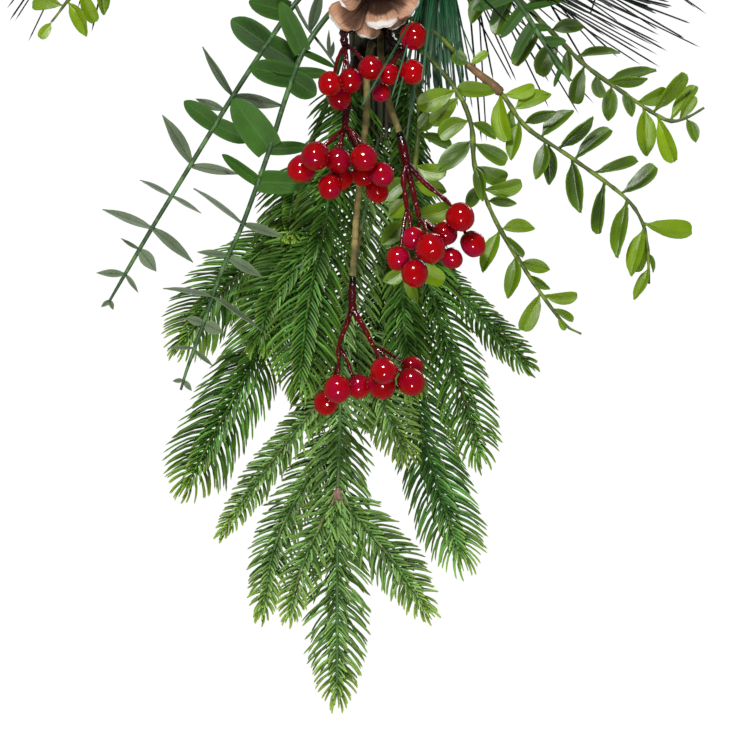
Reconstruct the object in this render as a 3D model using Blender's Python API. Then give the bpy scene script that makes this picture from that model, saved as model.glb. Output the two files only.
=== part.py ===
"""An artificial Christmas door swag, hung by a wire loop at its back.

Metres, +Z up. The origin is where the hook bears, inside the top of the hanging loop. The door is behind, at
+Y, and the swag faces -Y. Every spray is wired to one taped trunk, and is a solid of its own: a stem with its
needles, leaves or berries raised from its surface.
"""

import math
import random

import bmesh
import bpy
from mathutils import Matrix, Vector
from mathutils.bvhtree import BVHTree

MM = 0.001
SEED = 24

# The taped trunk that every stem is wired to
TRUNK_X, TRUNK_Y = 1.5, -22.0
TRUNK_TOP, TRUNK_BOTTOM = -45.0, -150.0
TRUNK_TOP_RADIUS, TRUNK_FOOT_RADIUS, TRUNK_SIDES = 12.0, 9.0, 16
TAPE_LAPS, TAPE_STEP = 5, 0.6
SEAT_GAP, SEAT_RUN = 0.3, 3.5

# The wire that the swag hangs by
WIRE_RADIUS, LOOP_RADIUS = 1.1, 11.0
COLLAR_Z = -62.5

# Foliage keeps this far in front of the hanging loop, and this far from what it would cross
BACK_LIMIT = -7.0
CLEAR, STEP_ALONG = 1.5, 1.3
FRONT = Vector((0.0, -1.0, 0.0))

# The longest stretch of a leafy stem without a ring
LONGEST_BAND = 15.0

# Moulded pine: rows of four needles
ROW_PITCH, NEEDLE_BASE, NEEDLE_LENGTH = 9.6, 1.7, 23.0
FIRST_ROW = 7.0

# Leaves: their size in millimetres, the outline as shares of the length and of the width, how far they curl,
# how they stand in pairs along a stem as (across, forward to the viewer, one forward and one back), how they
# lean along it, how they get smaller towards its tip, and the radii of the stem
BLADE = 0.8
BOXWOOD = {
    "length": 21.0, "width": 9.4, "narrowest": 0.42, "sections": ((0.28, 0.72), (0.74, 1.0)), "curl": 0.12,
    "pairs": ((1.0, 0.55, 0.0), (1.0, -0.25, 0.0)), "lean": 0.62, "taper": (1.0, 0.35, 3.0),
    "stem": (1.5, 0.8), "last": 0.5, "look": "boxwood",
}
EUCALYPTUS = {
    "length": 31.0, "width": 12.6, "narrowest": 0.3, "sections": ((0.3, 0.9), (0.72, 0.86)), "curl": 0.06,
    "pairs": ((0.75, 0.0, 0.55), (0.95, 0.0, 0.2)), "lean": 0.5, "taper": (1.1, 0.62, 1.6),
    "stem": (1.9, 1.1), "last": 0.3, "look": "eucalyptus",
}

# Colour, roughness and metallic of each kind of stuff
LOOKS = {
    "tape": ("3A2C1E", 0.75, 0.0),
    "wire": ("2F4A34", 0.45, 0.6),
    "pine": ("3F7A2C", 0.55, 0.0),
    "blue_pine": ("2F6B3C", 0.55, 0.0),
    "long_pine": ("2C5E3E", 0.5, 0.0),
    "boxwood": ("6FA325", 0.4, 0.0),
    "eucalyptus": ("4C7A45", 0.5, 0.0),
    "berry": ("B80012", 0.15, 0.0),
    "paper": ("8E7146", 0.8, 0.0),
    "cone": ("A5764F", 0.75, 0.0),
}


def vec(point):
    """A point given in millimetres."""
    return Vector(point) * MM


def linear(hex_colour):
    """The linear colour of an sRGB hex value."""
    parts = [int(hex_colour[i : i + 2], 16) / 255 for i in (0, 2, 4)]
    return [c / 12.92 if c <= 0.04045 else ((c + 0.055) / 1.055) ** 2.4 for c in parts]


def dress(obj, look):
    """Gives the sub-part a Principled material of its own."""
    colour, roughness, metallic = LOOKS[look]
    made = bpy.data.materials.new(obj.name)
    made.use_nodes = True
    shader = made.node_tree.nodes["Principled BSDF"]
    shader.inputs["Base Color"].default_value = (*linear(colour), 1)
    shader.inputs["Roughness"].default_value = roughness
    shader.inputs["Metallic"].default_value = metallic
    made.diffuse_color = (*linear(colour), 1)
    obj.data.materials.clear()
    obj.data.materials.append(made)
    return obj


def add_object(name, data, collection):
    made = bpy.data.objects.new(name, data)
    collection.objects.link(made)
    return made


def new_collection(name):
    made = bpy.data.collections.new(name)
    bpy.context.scene.collection.children.link(made)
    return made


def mesh_of(obj):
    """The object's evaluated mesh, as a new mesh."""
    bpy.context.view_layer.update()
    graph = bpy.context.evaluated_depsgraph_get()
    return bpy.data.meshes.new_from_object(obj.evaluated_get(graph))


class Route:
    """A smooth line through a few points, read by its distance from the start, in millimetres."""

    def __init__(self, points, fine=24):
        ends = [Vector(p) for p in points]
        before = ends[0] * 2 - ends[1]
        after = ends[-1] * 2 - ends[-2]
        padded = [before, *ends, after]
        self.line = [ends[0].copy()]
        for a, b, c, d in zip(padded, padded[1:], padded[2:], padded[3:]):
            for k in range(1, fine + 1):
                t = k / fine
                cubic = (d - a + 3 * (b - c)) * t**3
                square = (2 * a - 5 * b + 4 * c - d) * t**2
                self.line.append((cubic + square + (c - a) * t) / 2 + b)
        self.along = [0.0]
        for a, b in zip(self.line, self.line[1:]):
            self.along.append(self.along[-1] + (b - a).length)
        self.length = self.along[-1]

    def at(self, distance):
        """The point this far along, straight on past either end."""
        last = len(self.line) - 2
        k = next((i for i in range(last) if self.along[i + 1] >= distance), last)
        span = self.along[k + 1] - self.along[k]
        share = (distance - self.along[k]) / span
        return self.line[k] + (self.line[k + 1] - self.line[k]) * share

    def tangent(self, distance):
        return (self.at(distance + 0.5) - self.at(distance - 0.5)).normalized()

    def nearest(self, x, z):
        """How far along the line passes closest to this place, seen from the front."""
        near = min(range(len(self.line)), key=lambda i: (self.line[i].x - x) ** 2 + (self.line[i].z - z) ** 2)
        return self.along[near]


def tube(name, rings, sides, collection):
    """A closed tube through rings of (point, radius, tilt), in millimetres, made by a bevelled curve."""
    data = bpy.data.curves.new(name, "CURVE")
    data.dimensions = "3D"
    data.bevel_depth = MM
    data.bevel_resolution = (sides - 4) // 2
    data.use_fill_caps = True
    spline = data.splines.new("POLY")
    spline.points.add(len(rings) - 1)
    for point, (place, radius, tilt) in zip(spline.points, rings):
        point.co = (*vec(place), 1)
        point.radius = radius
        point.tilt = tilt
    guide = add_object(name + "_line", data, collection)
    mesh = mesh_of(guide)
    bpy.data.objects.remove(guide)
    return mesh


def welded(mesh, sides):
    """The tube as a bmesh, its caps welded on, and its side faces in a list for each band."""
    bm = bmesh.new()
    bm.from_mesh(mesh)
    band = bm.faces.layers.int.new("band")
    quads = [f for f in bm.faces if len(f.verts) == 4]
    for k, face in enumerate(quads):
        face[band] = k // sides + 1
    bmesh.ops.remove_doubles(bm, verts=bm.verts, dist=0.00001)
    bmesh.ops.recalc_face_normals(bm, faces=bm.faces)
    bands = {}
    for face in bm.faces:
        if face[band]:
            bands.setdefault(face[band] - 1, []).append(face)
    return bm, bands


def finished(name, bm, collection):
    mesh = bpy.data.meshes.new(name)
    bm.to_mesh(mesh)
    bm.free()
    return add_object(name, mesh, collection)


def united(base, others, collection):
    """The base object joined with the others in one Boolean union, which is applied."""
    if not others:
        return base
    joined = new_collection(base.name + "_joins")
    for other in others:
        collection.objects.unlink(other)
        joined.objects.link(other)
    union = base.modifiers.new("union", "BOOLEAN")
    union.operation = "UNION"
    union.operand_type = "COLLECTION"
    union.collection = joined
    union.solver = "MANIFOLD"
    mesh = mesh_of(base)
    base.modifiers.clear()
    base.data = mesh
    for other in list(joined.objects):
        bpy.data.objects.remove(other)
    bpy.data.collections.remove(joined)
    return base


class Room:
    """The space already taken: solids by their faces, and thin repeats by points along them."""

    def __init__(self):
        self.verts = []
        self.faces = []
        self.tree = None
        self.cells = {}

    def add_solid(self, bm):
        start = len(self.verts)
        bm.verts.index_update()
        self.verts += [v.co.copy() for v in bm.verts]
        self.faces += [[start + v.index for v in f.verts] for f in bm.faces]

    def settle(self):
        self.tree = BVHTree.FromPolygons(self.verts, self.faces)

    def cell(self, point):
        return tuple(int(math.floor(c / (2 * MM))) for c in point)

    def add_points(self, points):
        for p in points:
            self.cells.setdefault(self.cell(p), []).append(p)

    def free(self, point, reach):
        """True if nothing that is already placed lies within reach of this point."""
        if point.y > BACK_LIMIT * MM:
            return False
        if self.tree.find_nearest(point, reach)[0] is not None:
            return False
        i, j, k = self.cell(point)
        around = (-1, 0, 1)
        for key in ((i + a, j + b, k + c) for a in around for b in around for c in around):
            if any((p - point).length < reach for p in self.cells.get(key, ())):
                return False
        return True

    def clear_run(self, points, reach):
        """How many of these points, in their order, are free."""
        for count, point in enumerate(points):
            if not self.free(point, reach):
                return count
        return len(points)


def trunk_radius(z):
    """The taped trunk's radius at this height: each lap of tape stands out more towards its lower edge."""
    share = (TRUNK_TOP - z) / (TRUNK_TOP - TRUNK_BOTTOM)
    taper = TRUNK_TOP_RADIUS + (TRUNK_FOOT_RADIUS - TRUNK_TOP_RADIUS) * share
    return taper + TAPE_STEP * min(share * TAPE_LAPS % 1 * 1.05, 1)


def seat_radius(z):
    """How far from the trunk's axis a stem or wire that meets it at this height has its end."""
    return max(trunk_radius(z + step) for step in (-2, 0, 2)) + SEAT_GAP


def leaving(z, degrees):
    """The first points of a stem that leaves the trunk square to its side, at this height and bearing."""
    angle = math.radians(degrees)
    out = Vector((math.cos(angle), math.sin(angle), 0))
    centre = Vector((TRUNK_X, TRUNK_Y, z))
    start = centre + out * seat_radius(z)
    return [start, start + out * SEAT_RUN, start + out * 2 * SEAT_RUN]


def below():
    """The first points of a stem that runs straight down from the trunk's foot."""
    return [Vector((TRUNK_X, TRUNK_Y, TRUNK_BOTTOM - SEAT_GAP - SEAT_RUN * k)) for k in range(3)]


def above():
    """The first points of a stem that runs straight up from the trunk's head."""
    return [Vector((TRUNK_X, TRUNK_Y, TRUNK_TOP + SEAT_GAP + SEAT_RUN * k)) for k in range(3)]


def make_trunk(collection):
    """Stem ends under lapped floral tape: each lap ends in a small step."""
    rings = []
    lap = (TRUNK_TOP - TRUNK_BOTTOM) / TAPE_LAPS
    for k in range(TAPE_LAPS):
        top = TRUNK_TOP - k * lap
        for z in (top - 0.01, top - lap * 0.95):
            rings.append((Vector((TRUNK_X, TRUNK_Y, z)), trunk_radius(z), 0.0))
    rings.append((Vector((TRUNK_X, TRUNK_Y, TRUNK_BOTTOM)), TRUNK_FOOT_RADIUS, 0.0))
    bm, _ = welded(tube("trunk", rings, TRUNK_SIDES, collection), TRUNK_SIDES)
    return dress(finished("trunk", bm, collection), "tape")


def ring_mesh(name, radius, centre, turn, collection):
    """A torus of the hanging wire."""
    bpy.ops.mesh.primitive_torus_add(
        major_radius=radius * MM,
        minor_radius=WIRE_RADIUS * MM,
        major_segments=16,
        minor_segments=6,
        location=vec(centre),
        rotation=turn,
    )
    ring = bpy.context.object
    ring.name = name
    ring.data.transform(ring.matrix_world)
    ring.matrix_world = Matrix.Identity(4)
    for owner in list(ring.users_collection):
        owner.objects.unlink(ring)
    collection.objects.link(ring)
    return ring


def make_hanger(collection):
    """One wire: a ring round the trunk, a twisted neck at its back, and the loop that the hook takes."""
    collar_radius = seat_radius(COLLAR_Z) + WIRE_RADIUS
    loop_z = -(LOOP_RADIUS - WIRE_RADIUS)
    collar_back = TRUNK_Y + collar_radius
    collar = ring_mesh("collar", collar_radius, (TRUNK_X, TRUNK_Y, COLLAR_Z), (0, 0, 0), collection)
    loop = ring_mesh("loop", LOOP_RADIUS, (0, 0, loop_z), (math.pi / 2, 0, 0), collection)
    neck_route = Route([
        (TRUNK_X, collar_back + 1.0, COLLAR_Z),
        (TRUNK_X, collar_back + 2.5, COLLAR_Z + 8),
        (0, -1.0, loop_z - LOOP_RADIUS - 8),
        (0, 0, loop_z - LOOP_RADIUS),
    ])
    count = 6
    rings = []
    for k in range(count):
        place = neck_route.at(neck_route.length * k / (count - 1))
        rings.append((place, 1.7, k * math.radians(50)))
    bm, _ = welded(tube("neck", rings, 6, collection), 6)
    neck = finished("hanging_loop", bm, collection)
    return dress(united(neck, [collar, loop], collection), "wire")


def raise_spike(bm, face, tip):
    """A needle: the face drawn out to a point."""
    made = bmesh.ops.poke(bm, faces=[face])
    made["verts"][0].co = tip


def corner_places(centre, side, up, half_width, half_thick):
    return [
        centre + side * half_width * a + up * half_thick * b
        for a, b in ((-1, -1), (1, -1), (1, 1), (-1, 1))
    ]


def raise_blade(bm, face, stations, tip):
    """A leaf or scale: the face drawn out through flat sections to a tip.

    Each station is (centre, side, up, half width, half thickness), with side x up along the blade.
    """
    shift = None
    for centre, side, up, half_width, half_thick in stations:
        face = bmesh.ops.extrude_discrete_faces(bm, faces=[face])["faces"][0]
        corners = list(face.verts)
        if shift is None:
            middle = face.calc_center_median()
            signs = [((v.co - middle).dot(side), (v.co - middle).dot(up)) for v in corners]
            wanted = ((-1, -1), (1, -1), (1, 1), (-1, 1))
            scores = []
            for k in range(4):
                pairs = zip(signs, wanted[k:] + wanted[:k])
                scores.append(sum(s[0] * w[0] + s[1] * w[1] for s, w in pairs))
            shift = scores.index(max(scores))
        places = corner_places(centre, side, up, half_width, half_thick)
        for n, corner in enumerate(corners):
            corner.co = places[(n + shift) % 4]
    if tip is not None:
        raise_spike(bm, face, tip)


def facing(faces, direction):
    """The face that looks most nearly this way."""
    return max(faces, key=lambda f: f.normal.dot(direction))


def turned(direction, about, degrees):
    return Matrix.Rotation(math.radians(degrees), 3, about) @ direction


def kept_forward(direction, root, length):
    """The direction, bent so that what grows along it stays in front of the back limit."""
    most = (BACK_LIMIT * MM - root.y) / (length * MM)
    if direction.y > most - 0.02:
        direction = Vector((direction.x, most - 0.02, direction.z))
    return direction.normalized()


def leaf_stations(kind, leaf, root, way, up, size):
    """The sections and the tip of a leaf from its root, curling away from its upper side."""
    length, half_width = leaf["length"] * size * MM, leaf["width"] * size / 2 * MM
    up = (up - way * up.dot(way)).normalized()

    def centre(share):
        return root + way * length * share - up * length * kind["curl"] * share**2

    stations = []
    for share, width in kind["sections"]:
        forward = (centre(share + 0.05) - centre(share - 0.05)).normalized()
        blade_up = (up - forward * up.dot(forward)).normalized()
        side = blade_up.cross(forward)
        stations.append((centre(share), side, blade_up, half_width * width, BLADE / 2 * MM))
    return stations, centre(1.0)


def leaf_points(root, stations, tip):
    """Points all over the blade, close enough together that nothing thin slips between."""
    points = []
    lines = [(root, 0.0, stations[0][1])]
    lines += [(centre, half_width, side) for centre, side, _, half_width, _ in stations]
    lines.append((tip, 0.0, stations[-1][1]))
    for (a, wide_a, side_a), (b, wide_b, side_b) in zip(lines, lines[1:]):
        count = max(1, round((b - a).length / (STEP_ALONG * MM)))
        for k in range(count):
            share = (k + 1) / count
            middle, wide = a.lerp(b, share), wide_a + (wide_b - wide_a) * share
            side = side_a.lerp(side_b, share)
            across = max(0, math.ceil(wide / (1.5 * MM)))
            points += [middle + side * wide * n / max(across, 1) for n in range(-across, across + 1)]
    skip = max(2, round(0.12 * len(points)))
    return points[skip:]


def grow_leaf(bm, faces, room, kind, leaf):
    """Raises a leaf as near as it can to its direction, turned or made smaller until it is clear."""
    if not faces:
        return False
    face = facing(faces, leaf["way"])
    root = face.calc_center_median()
    square = face.normal.dot(leaf["way"])
    along = (leaf["way"] + face.normal * max(0, 0.3 - square)).normalized()
    tries = [(0, 0, 1.0), (0, 25, 1.0), (0, -25, 1.0), (9, 0, 1.0), (-9, 0, 1.0), (18, 0, 1.0), (-18, 0, 1.0)]
    tries += [(0, 50, 0.95), (0, -50, 0.95), (18, 40, 0.9), (-18, -40, 0.9), (30, 20, 0.85), (-30, -20, 0.85)]
    tries += [(0, 75, 0.8), (0, -75, 0.8), (12, 0, 0.65), (-12, 0, 0.65), (40, 0, 0.6), (-40, 0, 0.6)]
    for pitch, roll, size in tries:
        way = kept_forward(turned(along, leaf["up"], pitch), root, leaf["length"] * size)
        stations, tip = leaf_stations(kind, leaf, root, way, turned(leaf["up"], way, roll), size)
        points = leaf_points(root, stations, tip)
        if room.clear_run(points, CLEAR * MM) == len(points):
            faces.remove(face)
            raise_blade(bm, face, stations, tip)
            room.add_points(points)
            return True
    return False


def seen_leaves(kind, places, route):
    """Leaves by where each starts and ends, seen from the front, and how wide it looks there."""
    leaves = []
    for number, (x, z, tip_x, tip_z, looks) in enumerate(places):
        distance = route.nearest(x, z)
        root = route.at(distance)
        flat = Vector((tip_x - root.x, 0, tip_z - root.z))
        way = flat + FRONT * flat.length * (0.32, -0.12)[number % 2]
        length = way.length
        way.normalize()
        width = max(looks, kind["narrowest"] * length)
        roll = math.degrees(math.acos(looks / width)) * (1, -1)[number % 2]
        up = turned(FRONT, way, roll)
        leaves.append({"at": distance, "way": way, "up": up, "length": length, "width": width})
    return leaves


def ruled_leaves(kind, spec, route, draw):
    """Leaves in opposite pairs at an even pitch, each pair turned from the one before."""
    leaves = []
    start, drop, power = kind["taper"]
    distance, number = spec["bare"], 0
    while distance < route.length - 3:
        forward = route.tangent(distance)
        across = forward.cross(FRONT).normalized()
        scale = (start - drop * (distance / route.length) ** power) * draw.uniform(0.92, 1.06)
        scale *= spec.get("leaf", 1.0)
        wide, lift, twist = kind["pairs"][number % 2]
        for sign in (1, -1):
            out = across * sign * wide + FRONT * (lift + sign * twist + draw.uniform(-0.15, 0.15))
            up = turned(FRONT, forward, sign * draw.uniform(5, 35))
            way = (out + forward * kind["lean"]).normalized()
            size = {"length": kind["length"] * scale, "width": kind["width"] * scale}
            leaves.append({"at": distance, "way": way, "up": up, **size})
        distance += spec["pitch"]
        number += 1
    return leaves


def leafy_rings(route, leaves, thick, thin):
    """Rings for a leafy stem, with a short band wherever leaves grow, and the number of each leaf's band."""
    rings, bands, last = [], {}, -9.0
    plain = [0.0, SEAT_RUN]
    for leaf in sorted(leaves, key=lambda found: found["at"]):
        place = min(max(leaf["at"], SEAT_RUN + 2), route.length - 2.5)
        if place - last > 2.4:
            gap = place - plain[-1]
            steps = int(gap // LONGEST_BAND)
            plain += [plain[-1] + gap * (k + 1) / (steps + 1) for k in range(steps)]
            bands[place] = len(plain)
            plain += [place - 0.8, place + 0.8]
            last = place
        leaf["band"] = bands[last]
    for distance in [*plain, route.length]:
        rings.append((route.at(distance), thick + (thin - thick) * distance / route.length, 0.0))
    return rings


def plan_leafy(kind, spec, draw, collection, room):
    """A leafy stem without its leaves, and the leaves that it should get."""
    route = Route(spec["route"])
    if "leaves" in spec:
        leaves = seen_leaves(kind, spec["leaves"], route)
    else:
        leaves = ruled_leaves(kind, spec, route, draw)
    rings = leafy_rings(route, leaves, *kind["stem"])
    bm, bands = welded(tube(spec["name"], rings, 4, collection), 4)
    room.add_solid(bm)
    return {"name": spec["name"], "kind": kind, "bm": bm, "bands": bands, "leaves": leaves, "route": route}


def raise_leaves(plan, room, collection):
    """Raises the leaves from the stem, and the last one straight on from its end."""
    bm, kind, route = plan["bm"], plan["kind"], plan["route"]
    for leaf in plan["leaves"]:
        grow_leaf(bm, plan["bands"][leaf["band"]], room, kind, leaf)
    bm.faces.ensure_lookup_table()
    end = route.at(route.length) * MM
    caps = [f for f in bm.faces if len(f.verts) == 3 and (f.calc_center_median() - end).length < 2 * MM]
    if len(caps) == 2:
        face = bmesh.ops.dissolve_faces(bm, faces=caps)["region"][0]
        size = {"length": kind["length"] * kind["last"], "width": kind["width"] * kind["last"]}
        grow_leaf(bm, [face], room, kind, {"way": route.tangent(route.length), "up": FRONT, **size})
    return dress(finished(plan["name"], bm, collection), kind["look"])


def pine_rings(route, thick, thin, pitch, first):
    """Rings for a pine branch: a short band for each row of needles, turned an eighth from the last row."""
    rings = [(route.at(0), thick, 0.0), (route.at(SEAT_RUN), thick, 0.0)]
    places = []
    distance, count = first, 0
    while distance < route.length - 2.0:
        radius = thick + (thin - thick) * distance / route.length
        tilt = math.radians(45 * (count % 2))
        places.append((len(rings), distance))
        half = NEEDLE_BASE / 2
        rings += [(route.at(distance - half), radius, tilt), (route.at(distance + half), radius, tilt)]
        distance += pitch
        count += 1
    rings.append((route.at(route.length), thin * 0.8, 0.0))
    return rings, places


def plan_pine(spec, collection, room):
    """The bare branches of one pine frond."""
    plans = []
    for number, points in enumerate([spec["route"], *spec.get("tips", ())]):
        route = Route(points)
        first = spec.get("bare", 12.0) if number == 0 else FIRST_ROW
        thick = 1.7 if number == 0 else 1.25
        rings, places = pine_rings(route, thick, 0.85, spec.get("pitch", ROW_PITCH), first)
        name = spec["name"] if number == 0 else f"{spec['name']}_tip_{number}"
        bm, bands = welded(tube(name, rings, 4, collection), 4)
        room.add_solid(bm)
        size = spec["sizes"][number] if "sizes" in spec else 1.0
        plans.append({"name": name, "bm": bm, "bands": bands, "places": places, "route": route, "size": size})
    return {"spec": spec, "branches": plans}


def spike_points(root, way, length):
    count = int((length - 3.2) / STEP_ALONG)
    return [root + way * (3.2 + STEP_ALONG * k) * MM for k in range(count + 1)]


def grow_needle(bm, face, room, way, forward, length, shortest):
    """Draws a face out to a needle, bent or cut short where it would cross something."""
    root = face.calc_center_median()
    across = way.cross(forward).normalized()
    best, best_run = None, 0.0
    for pitch, yaw in ((0, 0), (12, 0), (-12, 0), (0, 14), (0, -14), (22, 0), (-20, 10)):
        tried = kept_forward(turned(turned(way, across, pitch), forward, yaw), root, length)
        points = spike_points(root, tried, length)
        clear = room.clear_run(points, CLEAR * MM)
        run = length if clear == len(points) else 3.2 + STEP_ALONG * (clear - 2)
        if run > best_run:
            best, best_run = tried, run
        if run == length:
            break
    if best is None or best_run < shortest:
        return False
    raise_spike(bm, face, root + best * best_run * MM)
    room.add_points(spike_points(root, best, best_run))
    return True


def needle_pine(plan, room, draw, collection):
    """Raises the needles of a frond, then joins its branches."""
    solids = []
    for branch in plan["branches"]:
        route, bm = branch["route"], branch["bm"]
        for band, distance in branch["places"]:
            forward = route.tangent(distance)
            share = distance / route.length
            sweep = math.radians(47 - 17 * share**2)
            for face in list(branch["bands"][band]):
                normal = (face.normal - forward * face.normal.dot(forward)).normalized()
                flat = 1.0 - 0.45 * abs(normal.y)
                length = NEEDLE_LENGTH * branch["size"] * flat * (1.0 - 0.35 * share**3)
                length *= draw.uniform(0.92, 1.08)
                way = (normal * math.sin(sweep) + forward * math.cos(sweep)).normalized()
                way = (way + Vector((0, 0.22 * -abs(way.y) if way.y > 0 else 0, 0))).normalized()
                grow_needle(bm, face, room, way, forward, length, 5.0)
        solids.append(finished(branch["name"], bm, collection))
    return dress(united(solids[0], solids[1:], collection), plan["spec"]["look"])


def plan_long_pine(spec, collection, room):
    route = Route(spec["route"])
    rings, places = pine_rings(route, 2.0, 1.4, spec.get("pitch", 5.0), spec["bare"])
    bm, bands = welded(tube(spec["name"], rings, 4, collection), 4)
    room.add_solid(bm)
    return {"spec": spec, "bm": bm, "bands": bands, "places": places, "route": route}


def needle_long_pine(plan, room, draw):
    """Long needles in a loose brush, sweeping along the stem and down."""
    route, bm, spec = plan["route"], plan["bm"], plan["spec"]
    for band, distance in plan["places"]:
        forward = route.tangent(distance)
        share = distance / route.length
        for face in list(plan["bands"][band]):
            normal = (face.normal - forward * face.normal.dot(forward)).normalized()
            open_by = math.radians(draw.uniform(26, 62) - 16 * share)
            way = normal * math.sin(open_by) + forward * math.cos(open_by)
            way = (way + Vector(spec["pull"]) * draw.uniform(0.2, 1.0)).normalized()
            way.y *= 0.55
            way.normalize()
            grow_needle(bm, face, room, way, forward, spec["length"] * draw.uniform(0.75, 1.05), 14.0)


def berry_rings(start, centre, radius):
    """A branchlet, and the berry as the swelling at its end."""
    start, centre = Vector(start), Vector(centre)
    way = (centre - start).normalized()
    rings = [(start, 1.0, 0.0)]
    for share, width in ((-0.97, 0.2), (-0.5, 0.92), (0.4, 0.97), (0.97, 0.36)):
        rings.append((centre + way * radius * share, radius * width, 0.0))
    return rings


def stem_rings(route, spacing, thick, thin):
    """Rings for a plain stem that tapers, with one close to its start, so its end is square to the trunk."""
    count = max(2, round((route.length - SEAT_RUN) / spacing))
    places = [0.0] + [SEAT_RUN + (route.length - SEAT_RUN) * k / count for k in range(count + 1)]
    return [(route.at(d), thick + (thin - thick) * d / route.length, 0.0) for d in places]


def make_berries(spec, collection, room):
    """A spray of berries: its twigs, and a berry at the end of each branchlet, joined in one solid."""
    parts = []
    for points in spec["twigs"]:
        route = Route(points)
        bm, _ = welded(tube("twig", stem_rings(route, 16, 1.5, 1.1), 6, collection), 6)
        parts.append(finished("twig", bm, collection))
    for start, centre, radius in spec["berries"]:
        bm, _ = welded(tube("branchlet", berry_rings(start, centre, radius), 6, collection), 6)
        parts.append(finished("branchlet", bm, collection))
    spray = united(parts[0], parts[1:], collection)
    spray.name = spec["name"]
    take(spray, room)
    return dress(spray, "berry")


def take(obj, room):
    """Counts a finished object as taken room."""
    bm = bmesh.new()
    bm.from_mesh(obj.data)
    room.add_solid(bm)
    bm.free()


def make_paper_stem(name, points, collection, room):
    """A berry pick's stem, wound in paper tape."""
    route = Route(points)
    bm, _ = welded(tube(name, stem_rings(route, 14, 1.9, 1.6), 6, collection), 6)
    stem = finished(name, bm, collection)
    take(stem, room)
    return dress(stem, "paper")


def make_cone(spec, collection, room):
    """A pine cone: scales raised in staggered rings from a tapering core, on a short wired stalk."""
    columns, rows = 10, spec["rows"]
    base, axis = Vector(spec["base"]), Vector(spec["axis"]).normalized()
    stalk = Vector(spec["stalk"])
    tall, wide = spec["length"], spec["width"]
    rings = [(stalk, 1.8, 0.0), (base - axis * 2, 2.4, 0.0)]
    for k in range(rows + 1):
        share = k / rows
        radius = wide * 0.17 * (1 - 0.78 * share**1.6) + 1.2
        rings.append((base + axis * tall * (0.02 + 0.88 * share), radius, 0.0))
    bm, bands = welded(tube(spec["name"], rings, columns, collection), columns)
    for row in range(rows):
        faces = bands[row + 2]
        faces.sort(key=lambda f: bearing(f, base, axis))
        share = (row + 0.5) / rows
        tilt = math.radians(98 - 88 * share**0.85)
        reach = wide * (0.36 * (1 - share**2.2) + 0.1)
        half_width = wide * (0.165 * (1 - 0.6 * share**2))
        for column in range(row % 2, columns, 2):
            raise_scale(bm, faces[column], axis, tilt, reach, half_width)
    cone = finished(spec["name"], bm, collection)
    take(cone, room)
    return dress(cone, "cone")


def bearing(face, base, axis):
    """The face's angle round the cone."""
    first = axis.orthogonal().normalized()
    out = face.calc_center_median() - base * MM
    return math.atan2(out.dot(axis.cross(first)), out.dot(first)) % (2 * math.pi)


def raise_scale(bm, face, axis, tilt, reach, half_width):
    """One woody scale: a narrow claw, then a broad rounded end that cups a little towards the cone's tip."""
    root = face.calc_center_median()
    out = (face.normal - axis * face.normal.dot(axis)).normalized()
    way = (out * math.sin(tilt) + axis * math.cos(tilt)).normalized()
    up = (axis * math.sin(tilt) - out * math.cos(tilt)).normalized()
    side = up.cross(way)
    stations = []
    for share, width, thick, cup in ((0.55, 0.8, 0.9, 0.0), (0.86, 1.0, 0.8, 0.04), (1.0, 0.55, 0.7, 0.09)):
        centre = root + (way * share + up * cup) * reach * MM
        stations.append((centre, side, up, half_width * width * MM, thick * MM))
    raise_blade(bm, face, stations, None)


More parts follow.
